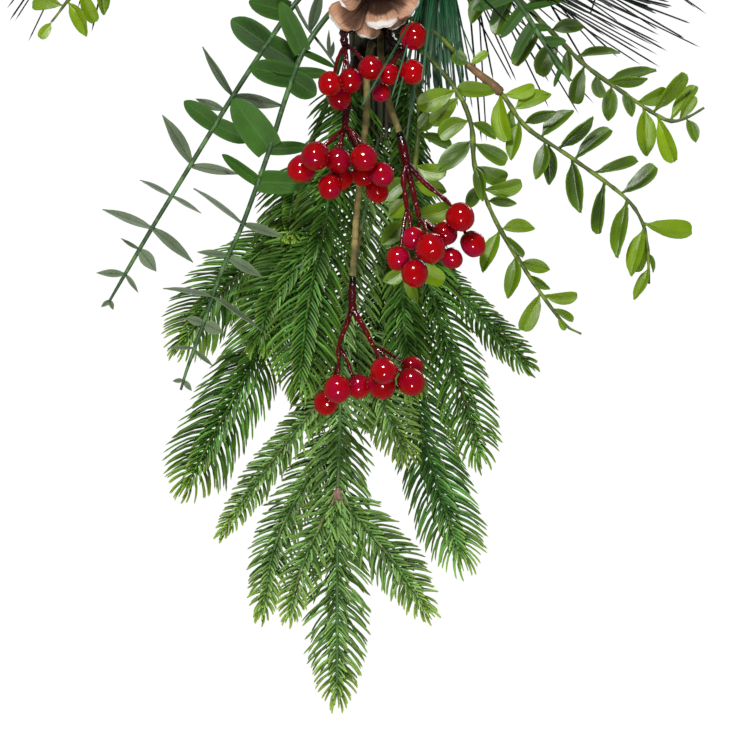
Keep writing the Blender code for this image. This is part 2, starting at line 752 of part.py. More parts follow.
# Each route below is in millimetres from the hanging point: x to the right, y back to the door, z up.
PINE = (
    {
        "name": "pine_centre", "look": "pine", "bare": 10.0, "sizes": (1.0, 0.85, 0.65, 0.65, 0.5, 0.9),
        "route": [
            *below(), (0, -26, -168), (-5, -31, -195), (-15, -35, -255), (-18.5, -37, -336),
            (-19, -37, -438),
        ],
        "tips": (
            [(-18.6, -37, -337), (-8, -38, -350), (10, -39, -372), (26, -40, -395)],
            [(-18.6, -37, -336), (-26, -39, -350), (-37, -42, -375), (-43, -43, -398)],
            [(-17.2, -36.6, -305), (-31, -31, -325), (-49, -28, -360), (-57, -28, -397)],
            [(-16.2, -35.8, -278), (-30, -37, -294), (-50, -38, -318), (-73, -39, -350)],
            [(-14.3, -34.5, -250), (-4, -30, -272), (6, -30, -296), (16, -31, -316)],
        ),
    },
    {
        "name": "pine_left", "look": "pine", "bare": 70.0, "sizes": (1.0, 1.0, 0.8),
        "route": [
            *leaving(-114, 180), (-24, -23, -140), (-38, -24, -180), (-49, -24, -232), (-58.5, -24, -263.5),
            (-72, -24, -291), (-83, -24, -311), (-94.5, -24, -333),
        ],
        "tips": (
            [(-43.7, -24, -207), (-60, -22, -220), (-74, -21, -232), (-86, -20, -246), (-97, -19, -263)],
            [(-38, -24, -180), (-42, -25, -191), (-45.5, -27, -205)],
        ),
    },
    {
        "name": "pine_left_inner", "look": "pine", "bare": 16.0,
        "route": [
            *leaving(-132, 205), (-16, -33, -152), (-24, -45, -195), (-33, -47, -240), (-38, -47, -282),
        ],
        "tips": (
            [(-26.4, -45.5, -207), (-40, -45, -222), (-52, -44, -240), (-58, -44, -260)],
            [(-19.2, -40, -171), (-25, -41, -181), (-29, -42, -193)],
        ),
    },
    {
        "name": "pine_right", "look": "pine", "bare": 16.0, "sizes": (0.82, 0.65, 0.85),
        "route": [
            *leaving(-126, -15), (17, -28, -146), (20, -30, -190), (28, -31, -235), (42, -31, -280),
            (53, -31, -318),
        ],
        "tips": (
            [(21, -30.1, -200), (28, -28, -218), (38, -26, -231), (57.5, -25, -253), (77, -24, -273)],
            [(20.2, -30, -192), (14, -36, -215), (14, -38, -245), (19, -39, -283)],
        ),
    },
    {
        "name": "pine_right_low", "look": "blue_pine", "bare": 20.0,
        "route": [
            *leaving(-142, 40), (15, -13, -177), (17, -15, -235), (21, -16, -290), (32, -16, -335),
            (43, -16, -368),
        ],
    },
    {
        "name": "pine_top", "look": "pine", "bare": 12.0, "pitch": 11.0,
        "route": [*above(), (-1, -25, -20), (-3, -28, 10), (-1, -30, 64), (3, -30, 132)],
        "tips": (
            [(-2.8, -28.3, 18), (-14, -29, 32), (-30, -29, 52), (-42, -29, 80)],
            [(-1.9, -29.4, 38), (10, -29, 52), (27, -29, 72), (38, -29, 98)],
        ),
    },
    {
        "name": "pine_top_left", "look": "pine", "bare": 18.0, "pitch": 11.0,
        "route": [*leaving(-50, 190), (-26, -24, -38), (-52, -24, -8), (-78, -24, 26), (-98, -24, 70)],
        "tips": (
            [(-58, -24, -0.5), (-78, -24, 2), (-100, -24, 8), (-122, -24, 22)],
        ),
    },
    {
        "name": "pine_top_right", "look": "blue_pine", "bare": 18.0, "pitch": 11.0,
        "route": [*leaving(-50, -12), (28, -25, -38), (54, -25, -10), (78, -25, 26), (96, -25, 72)],
        "tips": (
            [(58.5, -25, -4), (80, -25, 2), (102, -25, 10), (124, -25, 24)],
        ),
    },
)

# Where "leaves" is given, each is (x and z of its start, x and z of its tip, the width seen from the front)
EUCALYPTUS_STEMS = (
    {
        "name": "eucalyptus_left_outer",
        "route": [
            *leaving(-71, 198), (-23, -38, -74), (-38.5, -48, -90), (-52, -50, -109), (-71, -50, -138),
            (-92.5, -50, -173), (-111.5, -49, -204), (-125, -47, -227), (-134, -46, -242.5),
        ],
        "leaves": (
            (-42.5, -96, -62.5, -91, 12), (-55, -111, -72, -99.5, 12), (-55, -111, -38.5, -122, 11.5),
            (-72, -138, -87.5, -114, 4), (-71.5, -138, -46.5, -144, 6.5), (-75.5, -144, -90, -139.5, 4.5),
            (-80.5, -151, -95, -141.5, 7.5), (-80, -152, -63, -160.5, 8), (-92.5, -171.5, -105, -147.5, 6.5),
            (-92, -173.5, -68, -176, 5), (-101, -188, -117, -179.5, 2.5), (-100.5, -188, -86.5, -196, 2.5),
            (-111.5, -204, -135.5, -194, 4.5), (-111, -205, -90, -220, 5.5), (-119, -214, -109.5, -225.5, 7),
            (-118.5, -213.5, -127.5, -209.5, 2), (-125, -226.5, -139, -226, 4),
            (-124.5, -227, -118, -236, 2.5),
            (-132.5, -240, -137, -243.5, 2.5), (-132.5, -240, -131, -245, 2.5),
        ),
    },
    {
        "name": "eucalyptus_left_inner",
        "route": [
            *leaving(-88, 222), (-22, -50, -96), (-35.5, -60, -115.5), (-45, -61, -140.5), (-53, -61, -166),
            (-66, -60, -202), (-76, -59, -224), (-84.5, -58, -248.5), (-93.5, -57, -273.5), (-97, -57, -285),
        ],
        "leaves": (
            (-36, -116, -47, -92, 10), (-35.5, -116.5, -19.5, -123, 3.5), (-40, -129.5, -62, -124, 13),
            (-40, -130, -29.5, -138, 11), (-39.5, -126.5, -52, -125, 3), (-39, -126.5, -23, -127, 6),
            (-53, -164, -70.5, -140.5, 16.5), (-52.5, -164.5, -33, -163.5, 7), (-60, -181, -35.5, -182, 12),
            (-60, -180.5, -77, -168, 6), (-66, -201.5, -89.5, -183.5, 2.5), (-66, -202, -45, -208, 4.5),
            (-72.5, -218.5, -88.5, -215.5, 3.5), (-73, -219, -56, -228, 5.5),
            (-80.5, -238, -105, -232.5, 2.5),
            (-80.5, -238.5, -56, -254, 2.5), (-86, -251.5, -94.5, -249, 4.5), (-86, -252, -76, -256.5, 6.5),
            (-89.5, -264.5, -103.5, -263.5, 2), (-89.5, -265, -80.5, -272.5, 2.5),
            (-95.5, -280, -101, -280.5, 2.5), (-95.5, -280, -91.5, -285.5, 3),
        ),
    },
    {
        "name": "eucalyptus_right", "bare": 20.0, "pitch": 16.0, "leaf": 0.7,
        "route": [*leaving(-73, -38), (34, -50, -66), (70, -60, -82), (92, -62, -104), (104, -62, -128)],
    },
    {
        "name": "eucalyptus_top", "bare": 24.0, "pitch": 20.0,
        "route": [*leaving(-51, -60), (16, -44, -34), (30, -50, 4), (40, -52, 46), (46, -52, 92)],
    },
)

BOXWOOD_STEMS = (
    {
        "name": "boxwood_right_middle",
        "route": [
            *leaving(-98, -28), (30, -44, -106), (46.5, -52, -122.5), (62.5, -54, -136), (75.5, -54, -153.5),
            (97.5, -54, -168.5), (123.5, -54, -187.5), (133, -54, -200), (136, -54, -212.5), (137, -54, -232),
        ],
        "leaves": (
            (62, -137, 42, -134, 8), (63.5, -137, 80, -133.5, 7), (61.5, -138, 64.5, -160, 9),
            (68.5, -143.5, 69, -157, 5.5), (69, -152, 66.5, -169, 7), (70.5, -145, 88, -136, 8.5),
            (75, -151, 90.5, -147.5, 5.5), (84.5, -157, 98.5, -144, 7.5), (93.5, -162, 110, -151.5, 6),
            (100.5, -168, 116, -152.5, 7.5), (85, -159, 79.5, -179, 7.5), (87, -160.5, 88.5, -182.5, 7),
            (99, -168.5, 100.5, -196, 8), (110, -175, 130.5, -168, 5.5), (114.5, -182, 108.5, -205.5, 5.5),
            (123.5, -185.5, 139.5, -172, 8), (125, -191.5, 117.5, -217, 7), (134, -201.5, 159, -203, 9.5),
            (132.5, -204.5, 125.5, -226, 7.5), (134.5, -208.5, 133, -226.5, 4.5),
            (135, -223.5, 128, -238.5, 5), (136.5, -216, 140, -226, 2.5),
        ),
    },
    {
        "name": "boxwood_right_low",
        "route": [
            *leaving(-108, -48), (26, -52, -118), (41, -62, -136), (48, -66, -153), (49.5, -66, -172),
            (54.5, -66, -187.5), (62.5, -65, -205), (78.5, -64, -230.5), (94, -62, -251.5), (103, -62, -257),
        ],
        "leaves": (
            (39.5, -135.5, 23, -131, 9), (40.5, -138, 27.5, -153, 9), (47.5, -151, 32.5, -158.5, 9.5),
            (48.5, -151.5, 61, -159, 5.5), (47, -160, 31, -174.5, 9.5), (49, -161.5, 66, -171, 8),
            (49, -172.5, 52, -190.5, 6), (51, -172.5, 66, -179.5, 9), (53.5, -184.5, 72.5, -182.5, 8),
            (52.5, -182.5, 46, -194.5, 7), (56, -190.5, 70, -193, 5), (63.5, -205, 80, -203.5, 7),
            (62.5, -205.5, 52, -224.5, 7), (65, -205.5, 75.5, -217, 4), (70, -218, 64.5, -238, 7.5),
            (72.5, -221, 87.5, -225, 7), (77, -226.5, 86, -235.5, 4), (81.5, -237.5, 74.5, -256, 8.5),
            (84, -237.5, 100, -239, 6), (89, -244, 99.5, -249.5, 4), (91, -248, 94.5, -255, 3),
        ),
    },
    {
        "name": "boxwood_right_top",
        "route": [
            *leaving(-84, -8), (34, -32, -76), (66, -34, -85), (87, -35, -104), (104.5, -36, -121.5),
            (124.5, -36, -136), (145.5, -36, -149.5), (156, -36, -148.5), (165, -36, -143.5),
        ],
        "leaves": (
            (56, -82, 47, -100, 8), (62, -83, 84, -74, 8), (70, -87, 60, -106, 8), (76, -92, 96, -88, 8),
            (83, -103, 68.5, -119.5, 7.5), (87, -105, 105, -103, 7.5), (92.5, -111, 83, -126.5, 10),
            (101.5, -118, 122.5, -113.5, 4.5), (94.5, -115, 96, -127.5, 5), (104, -123.5, 101.5, -142, 8),
            (110, -128.5, 114, -138, 6.5), (117, -128.5, 140.5, -122.5, 5.5), (117, -130, 136, -131, 5),
            (117.5, -133, 117, -150.5, 8), (122.5, -137, 128.5, -147.5, 6), (131, -141, 146.5, -135, 8),
            (140, -145, 156, -128, 7), (133, -146.5, 137.5, -168, 10), (140.5, -150, 148, -170.5, 8),
            (148, -150, 159, -131, 6.5), (152, -149.5, 160.5, -138.5, 5.5), (156, -149.5, 161, -161, 6),
        ),
    },
    {
        "name": "boxwood_centre", "bare": 26.0, "pitch": 12.0, "leaf": 0.95,
        "route": [
            *leaving(-118, -66), (20, -48, -130), (24, -54, -150), (21, -55, -180), (15, -54, -208),
            (14, -52, -232),
        ],
    },
    {
        "name": "boxwood_left_top", "bare": 58.0, "pitch": 15.0,
        "route": [
            *leaving(-76, 168), (-34, -28, -66), (-80, -34, -60), (-118, -38, -68), (-146, -38, -82),
            (-162, -38, -98),
        ],
    },
)

LONG_PINE = (
    {
        "name": "long_pine_right", "bare": 20.0, "length": 108.0, "pull": (0.25, 0.0, -0.75), "pitch": 5.6,
        "route": [*leaving(-57, 2), (26, -34, -54), (58, -48, -44), (92, -52, -38)],
    },
    {
        "name": "long_pine_centre", "bare": 22.0, "length": 92.0, "pull": (0.0, -0.1, -0.5), "pitch": 5.6,
        "route": [*leaving(-92, -40), (26, -44, -96), (33, -56, -102), (36, -64, -112)],
    },
    {
        "name": "long_pine_left", "bare": 20.0, "length": 108.0, "pull": (-0.25, 0.0, -0.6), "pitch": 5.6,
        "route": [*leaving(-57, 176), (-24, -32, -50), (-60, -46, -38), (-96, -52, -30), (-120, -54, -28)],
    },
)

BERRY_SPRAYS = (
    {
        "name": "berry_spray_upper_left",
        "twigs": [[*leaving(-103, -112), (-9, -46, -109), (-12, -54, -112.5), (-15, -70, -113.5)]],
        "berries": [
            ((-14.8, -69.2, -113.4), (-22.3, -90, -132.7), 6.1),
            ((-14.9, -69.6, -113.4), (-12.3, -83, -130.9), 6.1),
            ((-14.7, -68.6, -113.3), (-17.8, -76, -139.4), 6.0),
            ((-14.5, -68, -113.2), (-1.9, -88, -124.9), 6.2),
        ],
    },
    {
        "name": "berry_spray_upper_right",
        "twigs": [[*leaving(-104, -70), (8, -46, -109.5), (11, -55, -113), (13, -67, -115)]],
        "berries": [
            ((12.5, -64, -114.5), (19.2, -84, -109.1), 6.8),
            ((12.8, -65.5, -114.8), (18.6, -82, -126.7), 6.3),
            ((12.8, -65.5, -114.8), (7.2, -81, -127.9), 5.3),
            ((12.5, -64, -114.5), (3.2, -77, -137), 4.7),
        ],
    },
    {
        "name": "berry_spray_left",
        "twigs": [[*leaving(-116, -125), (-11, -48, -124), (-13, -68, -136), (-15.5, -73, -156)]],
        "berries": [
            ((-15.3, -72.6, -154.5), (-29.5, -92, -168.8), 7.2),
            ((-15.4, -72.8, -155.2), (-36.5, -81, -174.9), 6.9),
            ((-15.3, -72.6, -154.5), (-18.3, -84, -170.9), 6.5),
            ((-15, -72, -152.5), (-5.6, -93, -169.7), 6.8),
            ((-15, -72, -152.5), (-5.9, -80.5, -178.2), 5.6),
            ((-15, -72, -152), (3.4, -88, -177.9), 6.0),
            ((-15.2, -72.4, -153.5), (1, -74.5, -185.5), 5.8),
            ((-15.4, -72.8, -155.2), (-17.2, -73.5, -178.8), 6.4),
            ((-15.4, -72.8, -155.2), (-22.2, -87, -184), 6.2),
        ],
    },
    {
        "name": "berry_spray_right",
        "twigs": [
            [
                (12.3, -70.8, -157.3), (14.5, -72.5, -166), (16.5, -74, -178), (17, -75, -190),
                (19.5, -76, -197),
            ],
            [(16.2, -73.8, -175), (22, -74, -184), (33, -74, -191)],
        ],
        "berries": [
            ((32.4, -74, -190.6), (42.3, -90, -199), 7.2),
            ((32.4, -74, -190.6), (48.5, -80, -212), 6.2),
            ((19.3, -76, -196.4), (34.8, -83, -207.3), 6.0),
            ((19.3, -76, -196.4), (27.5, -98, -214.4), 7.5),
            ((19.3, -76, -196.4), (19.1, -86, -209.4), 5.8),
            ((17.3, -75.2, -191.5), (11.7, -86, -219.7), 6.1),
            ((19.1, -75.9, -196), (19.7, -94, -226.8), 6.7),
            ((19.3, -76, -196.4), (38.2, -79, -219.4), 5.2),
        ],
    },
    {
        "name": "berry_spray_low",
        "twigs": [
            [
                (-11.1, -66.2, -228.6), (-11.3, -66, -238), (-13, -66, -250), (-18, -66, -262),
                (-18.4, -66, -273),
            ],
            [(-11.6, -66, -244), (-6, -68, -254), (0, -70, -264)],
        ],
        "berries": [
            ((-18.4, -66, -272.4), (-18.6, -76, -284.5), 7.0),
            ((-18.4, -66, -272.4), (-24.2, -65, -291), 6.1),
            ((-17.8, -66, -264), (-8.3, -64, -283.1), 6.0),
            ((-0.4, -69.9, -263.4), (4.3, -84, -275.2), 6.6),
            ((-0.4, -69.9, -263.4), (3.1, -71.5, -281.9), 7.3),
            ((-0.4, -69.9, -263.4), (18, -76, -280.8), 6.9),
            ((-0.4, -69.9, -263.4), (18.5, -66, -273.3), 5.4),
        ],
    },
)

PAPER_STEMS = {
    "berry_stem_right": [*leaving(-107, -86), (3, -54, -118), (6, -63, -138), (12.2, -70.5, -156.7)],
    "berry_stem_low": [
        *leaving(-112, -103), (-4, -54, -126), (-4.5, -64, -150), (-9, -66.5, -195), (-11, -66.3, -228),
    ],
}

CONE = {
    "name": "pine_cone", "rows": 7, "length": 46.0, "width": 41.0,
    "stalk": leaving(-84, -90)[0], "base": (0.5, -47, -84), "axis": (0.0, -1.0, 0.05),
}


def main():
    for obj in list(bpy.data.objects):
        bpy.data.objects.remove(obj)
    swag = new_collection("door_swag")
    room = Room()
    draw = random.Random(SEED)

    take(make_trunk(swag), room)
    take(make_hanger(swag), room)
    make_cone(CONE, swag, room)
    for name, points in PAPER_STEMS.items():
        make_paper_stem(name, points, swag, room)
    for spec in BERRY_SPRAYS:
        make_berries(spec, swag, room)
    leafy = [plan_leafy(EUCALYPTUS, spec, draw, swag, room) for spec in EUCALYPTUS_STEMS]
    leafy += [plan_leafy(BOXWOOD, spec, draw, swag, room) for spec in BOXWOOD_STEMS]
    long_pine = [plan_long_pine(spec, swag, room) for spec in LONG_PINE]
    pine = [plan_pine(spec, swag, room) for spec in PINE]
    room.settle()

    for plan in leafy:
        raise_leaves(plan, room, swag)
    for plan in long_pine:
        needle_long_pine(plan, room, draw)
        dress(finished(plan["spec"]["name"], plan["bm"], swag), "long_pine")
    for plan in pine:
        needle_pine(plan, room, draw, swag)


main()
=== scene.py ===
# %% [markdown]
# # A Christmas door swag
#
# The swag is artificial, apart from its dried pine cone: moulded pine fronds, eucalyptus, boxwood, long pine
# and lacquered berries, all wired to one taped trunk that hangs by a wire loop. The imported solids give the
# place of every spray. This lesson dresses them: each solid is replaced by a piece with far more needles or
# with its real leaf shape, and each finish gets a material that is named for what it is.

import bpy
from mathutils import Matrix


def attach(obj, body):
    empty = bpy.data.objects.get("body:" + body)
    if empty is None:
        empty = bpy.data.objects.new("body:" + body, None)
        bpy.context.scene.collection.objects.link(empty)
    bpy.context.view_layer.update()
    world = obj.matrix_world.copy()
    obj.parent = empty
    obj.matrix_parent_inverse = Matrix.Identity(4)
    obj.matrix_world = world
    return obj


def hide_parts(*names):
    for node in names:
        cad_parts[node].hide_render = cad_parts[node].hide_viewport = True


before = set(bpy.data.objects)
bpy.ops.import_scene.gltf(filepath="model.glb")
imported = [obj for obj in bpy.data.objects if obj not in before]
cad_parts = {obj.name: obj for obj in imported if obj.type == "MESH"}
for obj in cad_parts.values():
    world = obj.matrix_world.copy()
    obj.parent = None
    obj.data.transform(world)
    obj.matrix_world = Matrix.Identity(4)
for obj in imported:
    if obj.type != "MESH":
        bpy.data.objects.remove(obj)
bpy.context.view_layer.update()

# %% [markdown]
# ## Units, and lines through space
#
# Nearly everything below is given in millimetres, measured from the hook, and turned to metres where a mesh
# is made. The viewer looks along +Y, and Z is up. A stem is a smooth line through a few points. It is read
# by the distance from its start, because needles and leaves are spaced along it.

# %% Units and vectors
import bisect
import math
import random

import bmesh
import bpy
import numpy as np
from mathutils import Matrix, Vector

MM = 0.001
FRONT = Vector((0.0, -1.0, 0.0))


def vec(point):
    """A point given in millimetres."""
    return Vector(point) * MM


def turned(direction, about, degrees):
    """The direction, turned about an axis by the right-hand rule."""
    return Matrix.Rotation(math.radians(degrees), 3, about) @ direction


print("10 mm towards the viewer is", [round(c, 3) for c in vec(FRONT * 10)], "in metres")

# %% A smooth line
class Route:
    """A smooth line through a few points, read by its distance from the start, in millimetres."""

    def __init__(self, points, fine=24):
        ends = [Vector(p) for p in points]
        padded = [ends[0] * 2 - ends[1], *ends, ends[-1] * 2 - ends[-2]]
        self.line = [ends[0].copy()]
        for a, b, c, d in zip(padded, padded[1:], padded[2:], padded[3:]):
            for k in range(1, fine + 1):
                t = k / fine
                cubic = (d - a + 3 * (b - c)) * t**3
                square = (2 * a - 5 * b + 4 * c - d) * t**2
                self.line.append((cubic + square + (c - a) * t) / 2 + b)
        self.along = [0.0]
        for a, b in zip(self.line, self.line[1:]):
            self.along.append(self.along[-1] + (b - a).length)
        self.length = self.along[-1]

    def at(self, distance):
        """The point this far along, straight on past either end."""
        k = min(max(bisect.bisect_left(self.along, distance) - 1, 0), len(self.line) - 2)
        share = (distance - self.along[k]) / (self.along[k + 1] - self.along[k])
        return self.line[k] + (self.line[k + 1] - self.line[k]) * share

    def tangent(self, distance):
        return (self.at(distance + 0.5) - self.at(distance - 0.5)).normalized()

    def nearest(self, x, z):
        """How far along the line passes closest to this place, seen from the front."""

        def away(k):
            return (self.line[k].x - x) ** 2 + (self.line[k].z - z) ** 2

        return self.along[min(range(len(self.line)), key=away)]


print("a test line is", round(Route([(0, 0, 0), (0, 0, 10), (5, 0, 20)]).length, 2), "mm long")

# %% [markdown]
# ## Camera
#
# The photo looks straight at the swag with hardly any perspective, so the lens is long and far away. One
# pixel of the photo is 0.5 mm, so the view is 375 mm wide. Its middle is 277.5 mm below the hook, which cuts
# the top of the swag off as the photo does.

# %% The camera at the photo's angle
VIEW_WIDTH = 375.0
VIEW_MIDDLE = -277.5
SWAG_DEPTH = -50.0
CAMERA_AWAY = 6000.0
SENSOR = 36.0
FAR_CLIP_METRES = 60.0

bpy.ops.object.camera_add(
    location=vec((0, SWAG_DEPTH - CAMERA_AWAY, VIEW_MIDDLE)), rotation=(math.pi / 2, 0, 0)
)
camera = bpy.context.object
camera.name = "photo_camera"
camera.data.sensor_width = SENSOR
camera.data.lens = SENSOR * CAMERA_AWAY / VIEW_WIDTH
camera.data.clip_end = FAR_CLIP_METRES
bpy.context.scene.camera = camera
print("lens:", round(camera.data.lens, 1), "mm, for a square picture of 750 x 750")

# %% [markdown]
# ## A node, and a colour
#
# Materials are built from shader nodes in code. One small function adds a node with its settings and its
# links, so each material below reads as a list of steps. Colours are picked as sRGB hex values, as in any
# paint program, and Blender wants them linear.

# %% Colour and node helpers
def linear(hex_colour, share=1.0):
    """The linear colour of an sRGB hex value, made darker by this share where wanted."""
    parts = [int(hex_colour[i : i + 2], 16) / 255 for i in (0, 2, 4)]
    values = [c / 12.92 if c <= 0.04045 else ((c + 0.055) / 1.055) ** 2.4 for c in parts]
    return (*[v * share for v in values], 1.0)


def add(tree, kind, inputs=None, **settings):
    """Adds a shader node with its settings, and gives each input a value or a link.

    Another node among the inputs stands for its first output. A Mix node set to colours takes its factor at
    socket 0 and its colours at 6 and 7, and gives its result at 2.
    """
    node = tree.nodes.new("ShaderNode" + kind)
    for name, value in settings.items():
        setattr(node, name, value)
    for name, value in (inputs or {}).items():
        source = value.outputs[0] if isinstance(value, bpy.types.Node) else value
        if isinstance(source, bpy.types.NodeSocket):
            tree.links.new(source, node.inputs[name])
        else:
            node.inputs[name].default_value = source
    return node


def new_material(name, **sockets):
    """A Principled material with these constant values on its own sockets."""
    made = bpy.data.materials.new(name)
    made.use_nodes = True
    shader = made.node_tree.nodes["Principled BSDF"]
    for key, value in sockets.items():
        shader.inputs[key.replace("_", " ")].default_value = value
    return made, made.node_tree, shader


def dress(tree, shader, mix, relief):
    """Gives the shader its colour from a Mix node and its relief from a Bump node."""
    tree.links.new(mix.outputs[2], shader.inputs["Base Color"])
    tree.links.new(relief.outputs["Normal"], shader.inputs["Normal"])


def per_metre(size_mm):
    """The scale of a pattern whose cells are this many millimetres wide."""
    return 1000.0 / size_mm


print("mid green in linear light:", [round(c, 3) for c in linear("638143")])

# %% [markdown]
# ## Floor and light
#
# The photo is a cut-out on white, from a studio: a white sheet behind the swag, the dark of the room in
# front, and softboxes. So the surroundings are bright towards the back and dim towards the viewer, which
# keeps the greens deep, and gloss mirrors little of them, so the berries stay clear. Past the swag the
# camera sees white. Two softboxes stand one above the other in front, because each berry in the photo shows
# two small lights, and a dim one lights the back. The floor is plain and pale, and as far down as under a
# swag on a door.

# %% White behind, dim in front
WHITE = (1.0, 1.0, 1.0, 1.0)
LOST_IN_GLOSS = 0.8

world = bpy.data.worlds.new("studio")
bpy.context.scene.world = world
world.use_nodes = True
tree = world.node_tree
behind = tree.nodes["Background"]
behind.inputs["Color"].default_value = WHITE
behind.inputs["Strength"].default_value = 1.02
bearing = add(tree, "SeparateXYZ", {0: add(tree, "TexCoord").outputs["Generated"]})
span = {"From Min": -0.6, "From Max": 0.7, "To Min": 0.22, "To Max": 0.95}
glow = add(tree, "MapRange", {"Value": bearing.outputs["Y"], **span}, interpolation_type="SMOOTHSTEP")
ray = add(tree, "LightPath")
dimmed = {0: ray.outputs["Is Glossy Ray"], 1: -LOST_IN_GLOSS, 2: 1.0}
mirrored = add(tree, "Math", dimmed, operation="MULTIPLY_ADD")
strength = add(tree, "Math", {0: glow, 1: mirrored}, operation="MULTIPLY")
around = add(tree, "Background", {"Color": WHITE, "Strength": strength})
both = add(tree, "MixShader", {0: ray.outputs["Is Camera Ray"], 1: around, 2: behind})
tree.links.new(both.outputs[0], tree.nodes["World Output"].inputs["Surface"])
bpy.context.scene.view_settings.view_transform = "Standard"
print("the world has", len(tree.nodes), "nodes")

# %% A pale floor
FLOOR_SIZE, FLOOR_Z = 16000.0, -1300.0
UNMOVED = Matrix.Identity(4)


def primitive(operator, name, move=UNMOVED, **settings):
    """A new primitive, alone selected, with its place in its mesh and its object at the origin."""
    bpy.ops.object.select_all(action="DESELECT")
    operator(**settings)
    made = bpy.context.object
    made.name = name
    made.data.transform(move @ made.matrix_world)
    made.matrix_world = UNMOVED
    return made


floor = primitive(
    bpy.ops.mesh.primitive_plane_add, "pale_floor", size=FLOOR_SIZE * MM, location=vec((0, 0, FLOOR_Z))
)
paper, tree, shader = new_material("white_seamless_paper", Roughness=0.9, Specular_IOR_Level=0.2)
grain = add(tree, "TexNoise", {"Vector": add(tree, "TexCoord").outputs["Object"], "Scale": per_metre(300)})
tone = add(tree, "Mix", {0: grain, 6: linear("F4F4F2"), 7: linear("FAFAF8")}, data_type="RGBA")
tree.links.new(tone.outputs[2], shader.inputs["Base Color"])
floor.data.materials.append(paper)
floor.visible_glossy = False
print(floor.name, "lies", -FLOOR_Z, "mm below the hook")

# %% Softboxes
SOFTBOXES = (
    {"name": "softbox_high", "from": (-250.0, -1650.0, 1250.0), "side": 380.0, "power": 60.0},
    {"name": "softbox_low", "from": (60.0, -1750.0, -950.0), "side": 300.0, "power": 18.0},
    {"name": "softbox_back", "from": (700.0, 1300.0, 900.0), "side": 900.0, "power": 16.0},
)
LIGHT_AIM = (0.0, SWAG_DEPTH, -200.0)

for box in SOFTBOXES:
    place = vec(box["from"])
    aim = (vec(LIGHT_AIM) - place).to_track_quat("-Z", "Y").to_euler()
    bpy.ops.object.light_add(type="AREA", location=place, rotation=aim)
    light = bpy.context.object
    light.name = box["name"]
    light.data.size = box["side"] * MM
    light.data.energy = box["power"]
print("softboxes:", [box["name"] for box in SOFTBOXES])

# %% [markdown]
# ## One shape, copied many times
#
# A frond has hundreds of equal needles, and a stem dozens of equal leaves. Each such shape is modelled once:
# a primitive is added at its real size and shaped in edit mode. Then it is copied to every place, with its
# own width, length, bend and tint. The copies of one spray share one mesh, which keeps the scene light.

# %% Selecting in edit mode, and reading a finished shape
def select_only(test):
    """In edit mode: selects the vertices that pass this test and nothing else."""
    mesh = bpy.context.object.data
    shape = bmesh.from_edit_mesh(mesh)
    for vert in shape.verts:
        vert.select = test(vert.co)
    shape.select_flush_mode()
    bmesh.update_edit_mesh(mesh)


def read_shape(obj, width, length):
    """The finished shape in shares of its width and length, to be copied. The model of it is removed."""
    mesh = obj.data
    places = np.empty(len(mesh.vertices) * 3)
    mesh.vertices.foreach_get("co", places)
    places = places.reshape(-1, 3) / (np.array((width, length, width)) * MM)
    shape = {
        "name": obj.name,
        "verts": places,
        "corners": np.array([loop.vertex_index for loop in mesh.loops]),
        "starts": np.array([face.loop_start for face in mesh.polygons]),
        "uv": None,
    }
    if mesh.uv_layers:
        flat = np.empty(len(mesh.loops) * 2)
        mesh.uv_layers[0].data.foreach_get("uv", flat)
        shape["uv"] = flat.reshape(-1, 2)
    bpy.data.objects.remove(obj)
    print(shape["name"], "has", len(places), "points and", len(shape["starts"]), "faces")
    return shape


# %% Copying a shape to many places
def copies(name, shape, places):
    """One mesh of copies. A place is (root, way, up, width, length, bend, tint, young), in millimetres."""
    count, size = len(places), len(shape["verts"])
    root = np.array([p[0] for p in places])
    way = np.array([p[1] for p in places])
    up = np.array([p[2] for p in places])
    numbers = np.array([p[3:] for p in places], float)
    way /= np.linalg.norm(way, axis=1)[:, None]
    up -= way * (way * up).sum(1)[:, None]
    up /= np.linalg.norm(up, axis=1)[:, None]
    side = np.cross(way, up)
    x, y, z = (shape["verts"][:, k][None, :, None] for k in range(3))
    width, length, bend = (numbers[:, k][:, None, None] for k in range(3))
    points = root[:, None] + side[:, None] * x * width + way[:, None] * y * length
    points = points + up[:, None] * (z * width + bend * length * y**2)
    mesh = bpy.data.meshes.new(name)
    mesh.vertices.add(count * size)
    mesh.vertices.foreach_set("co", (points * MM).ravel())
    corners, starts = shape["corners"], shape["starts"]
    mesh.loops.add(count * len(corners))
    mesh.loops.foreach_set("vertex_index", (corners[None] + np.arange(count)[:, None] * size).ravel())
    mesh.polygons.add(count * len(starts))
    mesh.polygons.foreach_set("loop_start", (starts[None] + np.arange(count)[:, None] * len(corners)).ravel())
    mesh.update(calc_edges=True)
    if shape["uv"] is not None:
        mesh.uv_layers.new(name="UVMap").data.foreach_set("uv", np.tile(shape["uv"], (count, 1)).ravel())
    mark(mesh, "tint", np.repeat(numbers[:, 3], size))
    mark(mesh, "young", np.repeat(numbers[:, 4], size))
    mark(mesh, "along", np.tile(np.clip(shape["verts"][:, 1], 0, 1), count))
    made = bpy.data.objects.new(name, mesh)
    bpy.context.scene.collection.objects.link(made)
    return made


def mark(mesh, name, values):
    """A number for each point of the mesh, which materials read by this name."""
    mesh.attributes.new(name, "FLOAT", "POINT").data.foreach_set("value", np.asarray(values, np.float32))


# %% A stem
SAME_POINT_METRES = 0.00001


